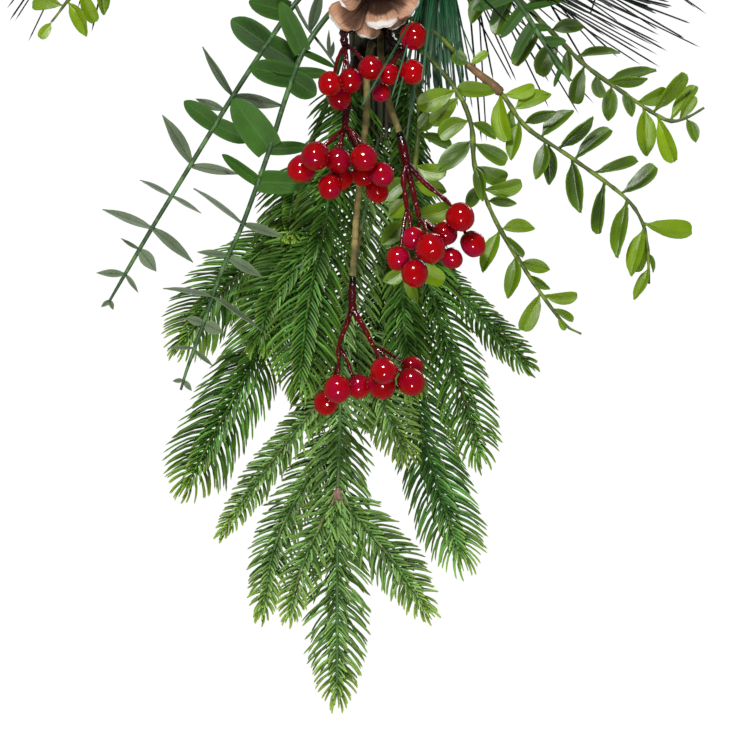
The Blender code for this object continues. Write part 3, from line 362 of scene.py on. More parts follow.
def stem(name, route, radii, sides=8, step=6.0, tint=0.5, knobs=0.0, draw=None):
    """A bevelled curve along the route, made a mesh. Its radius comes from (share, millimetres) pairs.

    Knobs is how much the radius may swell from step to step, as a share, with its draws taken from draw.
    """
    data = bpy.data.curves.new(name, "CURVE")
    data.dimensions = "3D"
    data.bevel_depth = MM
    data.bevel_resolution = (sides - 4) // 2
    data.use_fill_caps = True
    spline = data.splines.new("POLY")
    count = max(3, round(route.length / step))
    spline.points.add(count)
    shares, sizes = zip(*radii)
    for k, point in enumerate(spline.points):
        share = k / count
        size = float(np.interp(share, shares, sizes))
        if knobs and 0 < k < count:
            size *= 1 + knobs * draw.uniform(-0.6, 1.0)
        point.co = (*vec(route.at(route.length * share)), 1)
        point.radius = size
    made = bpy.data.objects.new(name, data)
    bpy.context.scene.collection.objects.link(made)
    bpy.ops.object.select_all(action="DESELECT")
    made.select_set(True)
    bpy.context.view_layer.objects.active = made
    bpy.ops.object.convert(target="MESH")
    bpy.ops.object.mode_set(mode="EDIT")
    bpy.ops.mesh.select_all(action="SELECT")
    bpy.ops.mesh.remove_doubles(threshold=SAME_POINT_METRES)
    bpy.ops.mesh.normals_make_consistent(inside=False)
    bpy.ops.object.mode_set(mode="OBJECT")
    line = np.array([p[:] for p in route.line]) * MM
    points = np.array([v.co[:] for v in made.data.vertices])
    near = ((points[:, None] - line[None]) ** 2).sum(2).argmin(1)
    run = np.array(route.along)[near]
    mark(made.data, "run", run)
    mark(made.data, "along", run / route.length)
    mark(made.data, "tint", np.full(len(points), tint))
    return made


# %% Joining a finished piece, which then stands for its solid
def joined(name, parts):
    """One object from several."""
    bpy.ops.object.select_all(action="DESELECT")
    for part in parts:
        part.select_set(True)
    bpy.context.view_layer.objects.active = parts[0]
    if len(parts) > 1:
        bpy.ops.object.join()
    made = bpy.context.object
    made.name = name
    made.data.name = name
    return made


def coat(obj, material):
    """Gives the object this one material."""
    obj.data.materials.clear()
    obj.data.materials.append(material)
    return obj


def hand_over(name, parts, node, angle=40):
    """Joins the parts of a piece, smooths it, and lets it stand for its solid."""
    piece = joined(name, parts)
    bpy.ops.object.shade_smooth_by_angle(angle=math.radians(angle))
    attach(piece, "root")
    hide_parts(node)
    print(name, "has", len(piece.data.polygons), "faces")


# %% [markdown]
# ## Pine fronds
#
# Each frond is moulded in soft polyethylene: a fleshy spine with side branches, and needles about 23 mm long
# and 1.4 mm wide in nine rows round it, 2.2 to 3.3 mm apart along it. The four long side rows make the comb
# that the photo shows against the white, and the short row in front lets the spine show. The needles leave
# the spine at 50 to 66 degrees and bend towards its tip. They could be a hair system, but a rule that places
# each one keeps them even, right out to the tips.

# %% A needle, modelled once
NEEDLE_WIDTH, NEEDLE_THICK, NEEDLE_LENGTH = 1.35, 0.95, 23.0
FOOT_SHARE = 0.75


def model_needle(name, width, thick, length, steps):
    """A needle from a diamond face, drawn out in steps of (share of the length, change of width)."""
    needle = primitive(
        bpy.ops.mesh.primitive_circle_add, name,
        vertices=4, radius=width / 2 * MM, fill_type="NGON", rotation=(math.pi / 2, 0, 0),
    )
    bpy.ops.object.mode_set(mode="EDIT")
    bpy.ops.mesh.select_all(action="SELECT")
    foot = (FOOT_SHARE * thick / width, 1, FOOT_SHARE)
    bpy.ops.transform.resize(value=foot, center_override=(0, 0, 0))
    place = 0.0
    for step, change in steps:
        bpy.ops.mesh.extrude_region_move(TRANSFORM_OT_translate={"value": (0, step * length * MM, 0)})
        place += step * length * MM
        bpy.ops.transform.resize(value=(change, 1, change), center_override=(0, place, 0))
    bpy.ops.mesh.extrude_region_move(TRANSFORM_OT_translate={"value": (0, length * MM - place, 0)})
    bpy.ops.mesh.merge(type="COLLAPSE")
    bpy.ops.mesh.select_all(action="SELECT")
    bpy.ops.mesh.normals_make_consistent(inside=False)
    bpy.ops.object.mode_set(mode="OBJECT")
    return read_shape(needle, width, length)


PINE_NEEDLE = model_needle(
    "pine_needle", NEEDLE_WIDTH, NEEDLE_THICK, NEEDLE_LENGTH,
    ((0.22, 1.3), (0.28, 1.0), (0.26, 0.92), (0.17, 0.8)),
)

# %% [markdown]
# Moulded polyethylene is waxy, so its gloss is soft. Its colour varies from needle to needle and turns
# yellow at the tips, as on airbrushed fronds. Marks on the mesh carry that: tint is a needle's random share,
# along runs from its foot to its tip, and young grows towards the end of the frond.

# %% Polyethylene needles and their spines
def needle_plastic(name, deep, mid, light, tip, roughness=0.5):
    """Waxy polyethylene: three greens picked by needle, clouds of dusk, and yellow at the tips."""
    made, tree, shader = new_material(name, Roughness=roughness, IOR=1.5, Specular_IOR_Level=0.2)
    marks = (add(tree, "Attribute", attribute_name=key) for key in ("tint", "along", "young"))
    tint, along, young = (node.outputs["Fac"] for node in marks)
    place = add(tree, "TexCoord").outputs["Object"]
    ramp = add(tree, "ValToRGB", {"Fac": tint})
    ramp.color_ramp.elements[0].color = linear(deep)
    ramp.color_ramp.elements[1].color = linear(light)
    ramp.color_ramp.elements.new(0.5).color = linear(mid)
    cloud = add(tree, "TexNoise", {"Vector": place, "Scale": per_metre(9.0), "Detail": 3.0})
    span = {"From Min": 0.35, "From Max": 0.7, "To Min": 0.72, "To Max": 1.12}
    dusk = add(tree, "MapRange", {"Value": cloud, **span})
    shaded = add(tree, "VectorMath", {0: ramp, "Scale": dusk}, operation="SCALE")
    sharp = add(tree, "Math", {0: along, 1: 2.2}, operation="POWER")
    yellow = add(tree, "Math", {0: young, 1: 0.55, 2: 0.16}, operation="MULTIPLY_ADD")
    amount = add(tree, "Math", {0: sharp, 1: yellow}, operation="MULTIPLY")
    mix = add(tree, "Mix", {0: amount, 6: shaded, 7: linear(tip)}, data_type="RGBA")
    fine = add(tree, "TexNoise", {"Vector": place, "Scale": per_metre(0.8), "Detail": 2.0})
    relief = add(tree, "Bump", {"Height": fine, "Strength": 0.15, "Distance": 0.0002})
    dress(tree, shader, mix, relief)
    return made


def patchy_plastic(name, green, other, patch, share, roughness=0.55):
    """Moulded plastic of two colours: the second shows in soft patches over about this share of it."""
    made, tree, shader = new_material(name, Roughness=roughness, IOR=1.5)
    place = add(tree, "TexCoord").outputs["Object"]
    patches = add(tree, "TexNoise", {"Vector": place, "Scale": per_metre(patch), "Detail": 3.0})
    span = {"From Min": 0.62 - 0.3 * share, "From Max": 0.78 - 0.3 * share}
    edge = add(tree, "MapRange", {"Value": patches, **span}, interpolation_type="SMOOTHSTEP")
    mix = add(tree, "Mix", {0: edge, 6: linear(green), 7: linear(other)}, data_type="RGBA")
    fine = add(tree, "TexNoise", {"Vector": place, "Scale": per_metre(1.2), "Detail": 3.0})
    relief = add(tree, "Bump", {"Height": fine, "Strength": 0.3, "Distance": 0.0004})
    dress(tree, shader, mix, relief)
    return made


PINE_PE = needle_plastic("pine_polyethylene", "24460E", "4C6F36", "6C944C", "A2B23C")
# A darker copy of the pine film: partly a darker moulding, partly painted shade on the fronds that wear it.
DARK_SHADED_PINE_PE = needle_plastic("dark_shaded_pine_polyethylene", "16340A", "305A1A", "4E8030", "96AA36")
BLUE_PINE_PE = needle_plastic("blue_pine_polyethylene", "1A4216", "3C682F", "5C9042", "98B040")
PINE_JOINT = patchy_plastic("pine_joint_polyethylene", "63483A", "806052", 2.0, 0.5)
PINE_SPINE = patchy_plastic("pine_spine_polyethylene", "34521E", "66503A", 24.0, 0.35)
print("needle materials:", PINE_PE.name, DARK_SHADED_PINE_PE.name, BLUE_PINE_PE.name, PINE_SPINE.name)

# %% [markdown]
# All stems leave the trunk, so three small functions give the first points of a route: square out of its
# side at some height and bearing, straight down from its foot, or straight up from its head.

# %% Where stems leave the trunk
TRUNK_X, TRUNK_Y = 1.5, -22.0
TRUNK_TOP, TRUNK_BOTTOM = -45.0, -150.0
TRUNK_TOP_RADIUS, TRUNK_FOOT_RADIUS = 12.0, 9.0
SEAT_RUN = 3.5


def trunk_radius(z):
    """The trunk is thinner towards its foot."""
    share = (TRUNK_TOP - z) / (TRUNK_TOP - TRUNK_BOTTOM)
    return TRUNK_TOP_RADIUS + (TRUNK_FOOT_RADIUS - TRUNK_TOP_RADIUS) * share


def leaving(z, degrees):
    """The first points of a stem that leaves the trunk square to its side, at this height and bearing."""
    out = Vector((math.cos(math.radians(degrees)), math.sin(math.radians(degrees)), 0))
    start = Vector((TRUNK_X, TRUNK_Y, z)) + out * trunk_radius(z)
    return [start, start + out * SEAT_RUN, start + out * 2 * SEAT_RUN]


def below():
    """The first points of a stem that hangs from the trunk's foot."""
    return [Vector((TRUNK_X, TRUNK_Y, TRUNK_BOTTOM - SEAT_RUN * k)) for k in range(3)]


def above():
    """The first points of a stem that stands on the trunk's head."""
    return [Vector((TRUNK_X, TRUNK_Y, TRUNK_TOP + SEAT_RUN * k)) for k in range(3)]


print("a stem leaves at", [round(c, 1) for c in leaving(-114, 180)[0]])

# %% [markdown]
# The fronds run where their solids run. Each has a main spine, and side tips that leave it. Only the first
# millimetres are bare. Droop is how far a needle bends towards the tip, as a share of its length. What else
# sets a frond apart is named in its list, and a plain frond gives the rest:
#
# - sizes: how long the needles of the main spine and of each tip are
# - blunt and fade: how long the last needles are, and over how many millimetres they get there
# - grown: over how many millimetres from its start a spine's needles grow to their full length
# - apart: how far apart the needles are. front: how many stand in front of the main spine
# - ragged: how unevenly the needles point, in degrees. yellow: how yellow the young needles are
# - joints: swellings on the main spine (where, how thick). sleeves: how many tips start in a brown sleeve

# %% The fronds
PLAIN_FROND = {
    "film": PINE_PE, "look": "pine", "sizes": (1.0,) * 6, "blunt": 0.45, "fade": 26.0, "grown": 0.0,
    "apart": 1.0, "front": 1.0, "ragged": 2.5, "yellow": 1.0, "joints": (), "sleeves": 0,
}
PINE = (
    {
        "name": "pine_centre", "bare": 2.0, "droop": 0.32, "ragged": 5.0, "fade": 34.0, "front": 0.1,
        "sizes": (0.89, 0.78, 0.64, 0.64, 0.48, 0.9), "joints": ((0.655, 2.7),), "sleeves": 2,
        "route": [
            *below(), (0, -26, -168), (-5, -31, -195), (-15, -35, -255), (-18.5, -37, -336), (-19, -37, -438),
        ],
        "tips": (
            [(-18.6, -37, -337), (-8, -38, -350), (10, -39, -372), (26, -40, -395)],
            [(-18.6, -37, -336), (-26, -39, -350), (-37, -42, -375), (-43, -43, -398)],
            [(-17.2, -36.6, -305), (-31, -31, -325), (-49, -28, -360), (-57, -28, -397)],
            [(-16.2, -35.8, -278), (-30, -37, -294), (-51, -38, -320), (-77, -39, -357)],
            [(-14.3, -34.5, -250), (-4, -30, -272), (6, -30, -296), (16, -31, -316)],
        ),
    },
    {
        "name": "pine_left", "film": DARK_SHADED_PINE_PE, "bare": 70.0, "droop": 0.44, "blunt": 0.4,
        "ragged": 1.5, "sizes": (1.04, 1.0, 0.8, 0.85),
        "route": [
            *leaving(-114, 180), (-24, -23, -140), (-38, -24, -180), (-49, -24, -232), (-58.5, -24, -263.5),
            (-72, -24, -291), (-83, -24, -311), (-94.5, -24, -333),
        ],
        "tips": (
            [(-43.7, -24, -207), (-60, -22, -220), (-74, -21, -232), (-86, -20, -246), (-97, -19, -263)],
            [(-38, -24, -180), (-41, -29, -191), (-42.5, -38, -201), (-42.5, -48, -208)],
            [(-42, -24, -200), (-36, -20, -232), (-29, -18, -265), (-30, -17, -302)],
        ),
    },
    {
        "name": "pine_left_inner", "film": DARK_SHADED_PINE_PE, "bare": 7.0, "droop": 0.36, "yellow": 0.35,
        "route": [
            *leaving(-132, 205), (-16, -33, -152), (-24, -45, -195), (-33, -47, -240), (-38, -47, -282),
        ],
        "tips": (
            [(-26.4, -45.5, -207), (-40, -45, -222), (-52, -44, -240), (-58, -44, -260)],
            [(-19.2, -40, -171), (-25, -41, -181), (-29, -42, -193)],
        ),
    },
    {
        "name": "pine_right", "film": DARK_SHADED_PINE_PE, "bare": 7.0, "droop": 0.42, "yellow": 0.5,
        "blunt": 0.5, "apart": 1.1, "grown": 90.0, "sizes": (0.84, 0.62, 0.85),
        "route": [
            *leaving(-126, -15), (17, -28, -146), (20, -30, -190), (28, -31, -235), (42, -31, -280),
            (53, -31, -318),
        ],
        "tips": (
            [(21, -30.1, -200), (28, -28, -218), (38, -26, -231), (57.5, -25, -253), (77, -24, -273)],
            [(20.2, -30, -192), (14, -36, -215), (14, -38, -245), (19, -39, -283)],
        ),
    },
    {
        "name": "pine_right_low", "film": BLUE_PINE_PE, "look": "blue_pine", "bare": 9.0, "droop": 0.4,
        "blunt": 0.55, "grown": 90.0, "sizes": (1.0, 0.8),
        "route": [
            *leaving(-142, 40), (15, -13, -177), (17, -15, -235), (21, -16, -290), (32, -16, -335),
            (43, -16, -368),
        ],
        "tips": ([(15.5, -13.5, -192), (8, -15, -222), (1, -16, -255), (0, -17, -298)],),
    },
    {
        "name": "pine_top", "bare": 12.0, "droop": 0.34,
        "route": [*above(), (-1, -25, -20), (-3, -28, 10), (-1, -30, 64), (3, -30, 132)],
        "tips": (
            [(-2.8, -28.3, 18), (-14, -29, 32), (-30, -29, 52), (-42, -29, 80)],
            [(-1.9, -29.4, 38), (10, -29, 52), (27, -29, 72), (38, -29, 98)],
        ),
    },
    {
        "name": "pine_top_left", "bare": 18.0, "droop": 0.34,
        "route": [*leaving(-50, 190), (-26, -24, -38), (-52, -24, -8), (-78, -24, 26), (-98, -24, 70)],
        "tips": ([(-58, -24, -0.5), (-78, -24, 2), (-100, -24, 8), (-122, -24, 22)],),
    },
    {
        "name": "pine_top_right", "film": BLUE_PINE_PE, "look": "blue_pine", "bare": 18.0, "droop": 0.34,
        "route": [*leaving(-50, -12), (28, -25, -38), (54, -25, -10), (78, -25, 26), (96, -25, 72)],
        "tips": ([(58.5, -25, -4), (80, -25, 2), (102, -25, 10), (124, -25, 24)],),
    },
)
print(len(PINE), "fronds")

# %% Rows of needles along a spine
# Bearing is the angle round the spine: 0 to the right of its run, 90 to the viewer
NEEDLE_ROWS = (
    {"bearing": 6, "pitch": 3.3, "start": 0.0, "open": 66, "long": 1.0},
    {"bearing": 174, "pitch": 3.3, "start": 1.6, "open": 66, "long": 1.0},
    {"bearing": -16, "pitch": 3.3, "start": 1.1, "open": 64, "long": 0.96},
    {"bearing": 196, "pitch": 3.3, "start": 2.7, "open": 64, "long": 0.96},
    {"bearing": 44, "pitch": 2.2, "start": 0.0, "open": 58, "long": 0.5},
    {"bearing": 136, "pitch": 2.2, "start": 1.2, "open": 58, "long": 0.5},
    {"bearing": 90, "pitch": 2.8, "start": 0.8, "open": 50, "long": 0.3},
    {"bearing": -60, "pitch": 3.2, "start": 0.4, "open": 58, "long": 0.74},
    {"bearing": -120, "pitch": 3.2, "start": 2.0, "open": 58, "long": 0.74},
)
FACING_ROW = 90
# How unevenly needles stand: degrees round the spine and of roll, shares of their length, width and pitch,
# and the bend for each degree of ragged
ROUND_BY, ROLL_BY = 3.0, 10.0
LENGTHS, WIDTHS, PITCHES = (0.92, 1.05), (0.9, 1.15), (0.94, 1.06)
BEND_BY = 0.012
# Near its end a spine's needles close up to this share of their angle, over these last millimetres
CLOSED, CLOSING_RUN = 0.45, 9.0
# The share of their length that needles start from where they have yet to grow, and the yellow last stretch
UNGROWN, YOUNG_RUN = 0.45, 30.0
SPINE_SKIN = 0.5
BACK_LIMIT = -7.0


def rising(low, distance, run):
    """A share that grows from low to 1 over this run."""
    return low + (1 - low) * min(1, distance / run)


def frame_at(route, distance):
    """The route's direction there, and the two square to it: towards the viewer, and to the right."""
    forward = route.tangent(min(distance, route.length - 1))
    front = (FRONT - forward * FRONT.dot(forward)).normalized()
    return forward, front, forward.cross(front)


def held_back(root, way, long):
    """Keeps the tip in front of the door, as needles that are pressed against it."""
    if root.y + way.y * long > BACK_LIMIT:
        way.y = (BACK_LIMIT - root.y) / long


def needle_places(route, spec, first, size, facing, draw):
    """Where each needle of one spine stands from first on, and how it looks.

    Facing thins out the row that would hide the spine.
    """
    places = []
    for row in NEEDLE_ROWS:
        pitch = row["pitch"] * spec["apart"] / (facing if row["bearing"] == FACING_ROW else 1.0)
        distance = first + row["start"]
        while distance < route.length + 1.0:
            left = max(route.length - distance, 0.0)
            forward, front, across = frame_at(route, distance)
            bearing = math.radians(row["bearing"] + draw.gauss(0, ROUND_BY))
            out = across * math.cos(bearing) + front * math.sin(bearing)
            opened = (row["open"] + draw.gauss(0, spec["ragged"])) * rising(CLOSED, left, CLOSING_RUN)
            way = out * math.sin(math.radians(opened)) + forward * math.cos(math.radians(opened))
            long = NEEDLE_LENGTH * row["long"] * size * draw.uniform(*LENGTHS)
            long *= rising(spec["blunt"], left, spec["fade"])
            if distance < spec["grown"]:
                long *= rising(UNGROWN, distance, spec["grown"])
            root = route.at(min(distance, route.length)) + out * SPINE_SKIN
            held_back(root, way, long)
            up = turned(forward, way, draw.uniform(-ROLL_BY, ROLL_BY))
            bend = spec["droop"] * row["long"] + draw.gauss(0, BEND_BY * spec["ragged"])
            young = max(0.0, 1 - left / YOUNG_RUN) * spec["yellow"]
            wide = NEEDLE_WIDTH * draw.uniform(*WIDTHS)
            places.append((root, way, up, wide, long, bend, draw.random(), young))
            distance += pitch * draw.uniform(*PITCHES)
    return places


print(len(NEEDLE_ROWS), "rows of needles round a spine")

# %% Each frond with all its needles
# Thickness of the main spine and of a tip's, of both near the end, and at the end
MAIN_SPINE, TIP_SPINE, THIN_SPINE, SPINE_END = 1.7, 1.5, 1.0, 0.5
TIP_BARE, TIP_FRONT = 2.5, 0.8
JOINT_REACH, JOINT_FORWARD = 3.5, 0.8
SLEEVE_REACH, SLEEVE_FORWARD = 7.0, 0.6
SLEEVE_RADII = ((0, 2.0), (1, 1.2))
FROND_SEED = 100


def make_frond(own, number):
    """One frond: its spines, and needles all along them."""
    draw = random.Random(FROND_SEED + number)
    spec = {**PLAIN_FROND, **own}
    name = spec["name"]
    parts, places = [], []
    for k, points in enumerate([spec["route"], *spec["tips"]]):
        route = Route(points)
        thick, first, facing = TIP_SPINE, TIP_BARE, TIP_FRONT
        if k == 0:
            thick, first, facing = MAIN_SPINE, spec["bare"], spec["front"]
        radii = ((0, thick), (0.95, THIN_SPINE), (1, SPINE_END))
        parts.append(coat(stem(f"{name}_spine_{k}", route, radii, sides=6), PINE_SPINE))
        places += needle_places(route, spec, first, spec["sizes"][k], facing, draw)
    main = Route(spec["route"])
    for k, (share, size) in enumerate(spec["joints"]):
        reach = (main.length * share - JOINT_REACH, main.length * share + JOINT_REACH)
        ends = Route([main.at(distance) + FRONT * JOINT_FORWARD for distance in reach])
        radii = ((0, 1.4), (0.35, size), (0.65, size), (1, 1.2))
        joint = stem(f"{name}_joint_{k}", ends, radii, step=1.0, knobs=0.15, draw=draw)
        parts.append(coat(joint, PINE_JOINT))
    for k, points in enumerate(spec["tips"][: spec["sleeves"]]):
        tip = Route(points)
        ends = Route([tip.at(0) + FRONT, tip.at(SLEEVE_REACH) + FRONT * SLEEVE_FORWARD])
        parts.append(coat(stem(f"{name}_sleeve_{k}", ends, SLEEVE_RADII, step=1.5), PINE_JOINT))
    needles = coat(copies(name + "_needles", PINE_NEEDLE, places), spec["film"])
    hand_over(name + "_frond", [needles, *parts], name, angle=60)


for number, spec in enumerate(PINE):
    make_frond(spec, number)

# %% [markdown]
# ## Long pine
#
# Three brushes of long, straight, thin needles stand behind the small sprays. They are cut from dark green
# film, up to 109 mm long and about 1.2 mm wide, and fan out to both sides. The middle one is teal with pale
# tips, hangs down, and a few of its needles cross in front of the berries. Needles that stand out in the
# photo are given one by one. Each stands on a side route, on the line it has in the photo.

# %% Long needles and where they stand
LONG_WIDTH, LONG_THICK, LONG_LENGTH = 1.15, 0.8, 100.0
LONG_NEEDLE = model_needle(
    "long_needle", LONG_WIDTH, LONG_THICK, LONG_LENGTH, ((0.3, 1.3), (0.35, 1.0), (0.3, 0.85))
)
LONG_FILM = needle_plastic("long_pine_film", "060B07", "0E1711", "1A3022", "16180F", roughness=0.45)
TEAL_FILM = needle_plastic("teal_long_pine_film", "05180C", "0C3A20", "265C3C", "6A8A6E", roughness=0.4)
LONG_SPINE = patchy_plastic("long_pine_spine_polyethylene", "2A4226", "5A4630", 20.0, 0.5)

# A seen needle is (x and z of a place on it, x and z of its tip), and a fifth number is the depth of a tip
# that isn't as deep as the others. The other needles stand all round the route, and pull bends them that way,
# by at least the steady share of it. Uneven is the range of their length, and lowest is as far down as they
# reach. Fill is how many more stand on the side route.
PLAIN_BRUSH = {"steady": 0.2, "uneven": (0.74, 1.03), "lowest": -math.inf, "fill": 0}
LONG_PINE = (
    {
        "name": "long_pine_right", "film": LONG_FILM, "count": 150, "pull": (0.45, 0.0, -0.5),
        "length": 104.0, "bare": 14.0, "fill": 72,
        "route": [*leaving(-57, 2), (26, -34, -54), (58, -48, -44), (92, -52, -38)],
        "side": [(26, -34, -54), (60, -38, -66), (112, -36, -84)], "tip_depth": -22.0,
        "seen": (
            (139.5, -90, 148, -93), (132, -90, 158.5, -101), (126, -90, 155.5, -108.5),
            (115.5, -90, 163.5, -113), (114, -90, 134, -99), (133, -90, 141.5, -96), (121, -91, 142, -104),
            (109, -90, 143, -107), (102, -90, 147, -115), (108, -90, 122, -100), (99.5, -95, 142.5, -117),
            (107, -97.5, 143.5, -111), (98.5, -96, 143.5, -123), (92.5, -95, 134, -122),
            (101, -99.5, 133.5, -114.5), (118.5, -102.5, 140, -112), (92.5, -93, 108, -96.5),
            (104, -102, 122, -118), (104, -105.5, 112, -114.5), (98.5, -109, 108.5, -126),
            (99.5, -131, 110.5, -141.5), (92.5, -130, 102.5, -146.5), (76, -112, 87.5, -130.5),
            (73, -113.5, 87.5, -143.5), (58, -110, 69, -130), (63, -112.5, 71, -130),
            (55.5, -110, 59.5, -129.5), (61, -98.5, 65.5, -103), (52, -143.5, 53.5, -160.5),
            (55, -143.5, 56, -160.5), (41.5, -124.5, 43.5, -133.5), (65, -112.5, 69.5, -121.5),
            (78, -96, 83, -101.5), (84.5, -95, 91, -100.5), (89, -93, 95, -101.5),
        ),
    },
    {
        "name": "long_pine_centre", "film": TEAL_FILM, "count": 120, "pull": (-0.7, 0.3, -5.0),
        "length": 49.0, "bare": 16.0, "steady": 0.55, "uneven": (0.55, 1.25),
        "route": [*leaving(-92, -40), (21, -38, -88), (31, -44, -84), (40, -46, -84)],
        "side": [(29, -43, -85), (28, -64, -79), (27, -84, -78), (33, -91, -80)], "tip_depth": -100.0,
        "seen": (
            (13, -110, -7, -145), (15, -115.5, 8, -140.5, -90), (14, -125.5, 10, -145.5, -84),
            (28, -90, 24, -130.5), (36.5, -97.5, 27, -119, -84), (27, -105, 23, -132),
            (19.5, -130, 18, -149, -70), (16, -120, 15, -165, -68), (26, -96, 23.5, -128, -74),
            (45.5, -101, 49.5, -120.5), (41.5, -100, 43.5, -133.5), (30.5, -90, 27.5, -121),
            (34.5, -90, 32.5, -129),
        ),
    },
    {
        "name": "long_pine_left", "film": LONG_FILM, "count": 170, "pull": (-0.35, 0.0, -0.35),
        "length": 106.0, "bare": 14.0, "lowest": -88.0,
        "route": [*leaving(-57, 176), (-24, -32, -50), (-60, -46, -38), (-96, -52, -30), (-120, -54, -28)],
        "side": [(-96, -52, -30), (-120, -54, -28), (-134, -54, -29)], "tip_depth": -26.0,
        "seen": (
            (-182.8, -90, -185, -93.8), (-178.1, -90, -183.5, -99.8), (-175, -90, -181, -100),
            (-167.7, -94.8, -174.3, -110.4), (-141.3, -101.3, -142.3, -105.4), (-148, -90, -149.2, -93.8),
        ),
    },
)
print(len(LONG_PINE), "brushes, with", sum(len(spec["seen"]) for spec in LONG_PINE), "needles from the photo")

# %% Each brush with its needles
BRUSH_SEED = 200
LONG_WIDTHS, LONG_BEND_BY = (0.9, 1.3), 0.012
TIP_DEPTH_BY, DEPTH_COUNTS = 3.0, 0.05
# Fill needles fan by this many degrees at the start of the side route, and lean back by this much
FILL_FAN, FILL_FAN_BY, FILL_BACK = 60.0, 9.0, (0.02, 0.22)
FILL_LENGTHS, FILL_SHORTER = (0.45, 0.8), 0.45
# Each needle is turned on from the last by the angle that plants use, because it never lines two up
NEXT_NEEDLE = math.radians(137.5)
OPEN_FROM, OPEN_TO, CLOSER_AT_END = 24.0, 60.0, 16.0
FLATTER, LONG_ROLL_BY = 0.5, 60.0
CUT_SHARE = 0.7
SEEN_YOUNG, FILL_YOUNG = 0.6, 0.5


def off_line(place, aim, slant):
    """How far this place is beside the needle's line as seen from the front. Depth counts a little too."""
    beside = abs((place.x - aim[0]) * slant.z - (place.z - aim[2]) * slant.x)
    return beside + DEPTH_COUNTS * abs(place.y - aim[1])


def side_needles(spec, side, draw):
    """Needles from the side route: to the tips that stand out, on the lines they have there, and fill."""
    places = []
    for x, z, tip_x, tip_z, *own_depth in spec["seen"]:
        aim = (tip_x, own_depth[0] if own_depth else spec["tip_depth"], tip_z)
        tip = Vector((tip_x, aim[1] + draw.uniform(-TIP_DEPTH_BY, TIP_DEPTH_BY), tip_z))
        slant = Vector((x - tip_x, 0, z - tip_z)).normalized()
        root = min(side.line, key=lambda place: off_line(place, aim, slant))
        wide = LONG_WIDTH * draw.uniform(*LONG_WIDTHS)
        way = tip - root
        places.append((root, way, FRONT, wide, way.length, 0.0, draw.random(), SEEN_YOUNG))
    for k in range(spec["fill"]):
        share = (k + draw.random()) / spec["fill"]
        root = side.at(side.length * share)
        fan = FILL_FAN * (1 - share) + draw.gauss(0, FILL_FAN_BY)
        way = turned(side.tangent(side.length * share), FRONT, fan)
        way.y += draw.uniform(*FILL_BACK)
        long = spec["length"] * draw.uniform(*FILL_LENGTHS) * (1 - FILL_SHORTER * share)
        wide = LONG_WIDTH * draw.uniform(*LONG_WIDTHS)
        bend = draw.gauss(0, LONG_BEND_BY)
        places.append((root, way, FRONT, wide, long, bend, draw.random(), FILL_YOUNG))
    return places


def make_brush(own, number):
    """A brush of long needles, sweeping along the stem and down."""
    draw = random.Random(BRUSH_SEED + number)
    spec = {**PLAIN_BRUSH, **own}
    name = spec["name"]
    route, side = Route(spec["route"]), Route(spec["side"])
    places = []
    for k in range(spec["count"]):
        distance = spec["bare"] + (route.length - spec["bare"]) * (k + draw.random()) / spec["count"]
        share = distance / route.length
        forward, front, across = frame_at(route, distance)
        out = across * math.cos(k * NEXT_NEEDLE) + front * math.sin(k * NEXT_NEEDLE)
        opened = math.radians(draw.uniform(OPEN_FROM, OPEN_TO) - CLOSER_AT_END * share)
        way = out * math.sin(opened) + forward * math.cos(opened)
        way = (way + Vector(spec["pull"]) * draw.uniform(spec["steady"], 1.0)).normalized()
        way.y *= FLATTER
        way.normalize()
        long = spec["length"] * draw.uniform(*spec["uneven"])
        root = route.at(distance)
        if root.z + way.z * long < spec["lowest"]:
            long = (root.z - spec["lowest"]) / -way.z * rising(CUT_SHARE, share, 1.0)
        held_back(root, way, long)
        up = turned(front, way, draw.uniform(-LONG_ROLL_BY, LONG_ROLL_BY))
        places.append((root, way, up, LONG_WIDTH, long, draw.gauss(0, LONG_BEND_BY), draw.random(), share))
    places += side_needles(spec, side, draw)
    needles = coat(copies(name + "_needles", LONG_NEEDLE, places), spec["film"])
    spine = coat(stem(name + "_spine", route, ((0, 2.0), (1, 1.2))), LONG_SPINE)
    side_spine = coat(stem(name + "_side_spine", side, ((0, 1.6), (1, 1.0))), LONG_SPINE)
    hand_over(name + "_brush", [needles, spine, side_spine], name, angle=60)


for number, spec in enumerate(LONG_PINE):
    make_brush(spec, number)

# %% [markdown]
# ## Leaves
#
# Eucalyptus and boxwood leaves are cut from thin sheet and pressed, so they have a folded midrib and edges
# that lift a little. A grid is the right start: its rows are narrowed to the outline of the leaf and moved
# to their places along it, its middle column is pushed down for the fold, and a solidify modifier gives it
# its thickness.

# %% A leaf, modelled once for each outline
COLUMNS, EDGE_FROM = 6, 0.28
# How far off its row, or the fold, a point may lie to count as part of it
ROW_REACH, FOLD_REACH = 0.2, 0.05


def select_row(distance):
    """In edit mode: selects the row of points at this distance from the foot, in millimetres."""
    select_only(lambda co: abs(co.y - distance * MM) < ROW_REACH * MM)


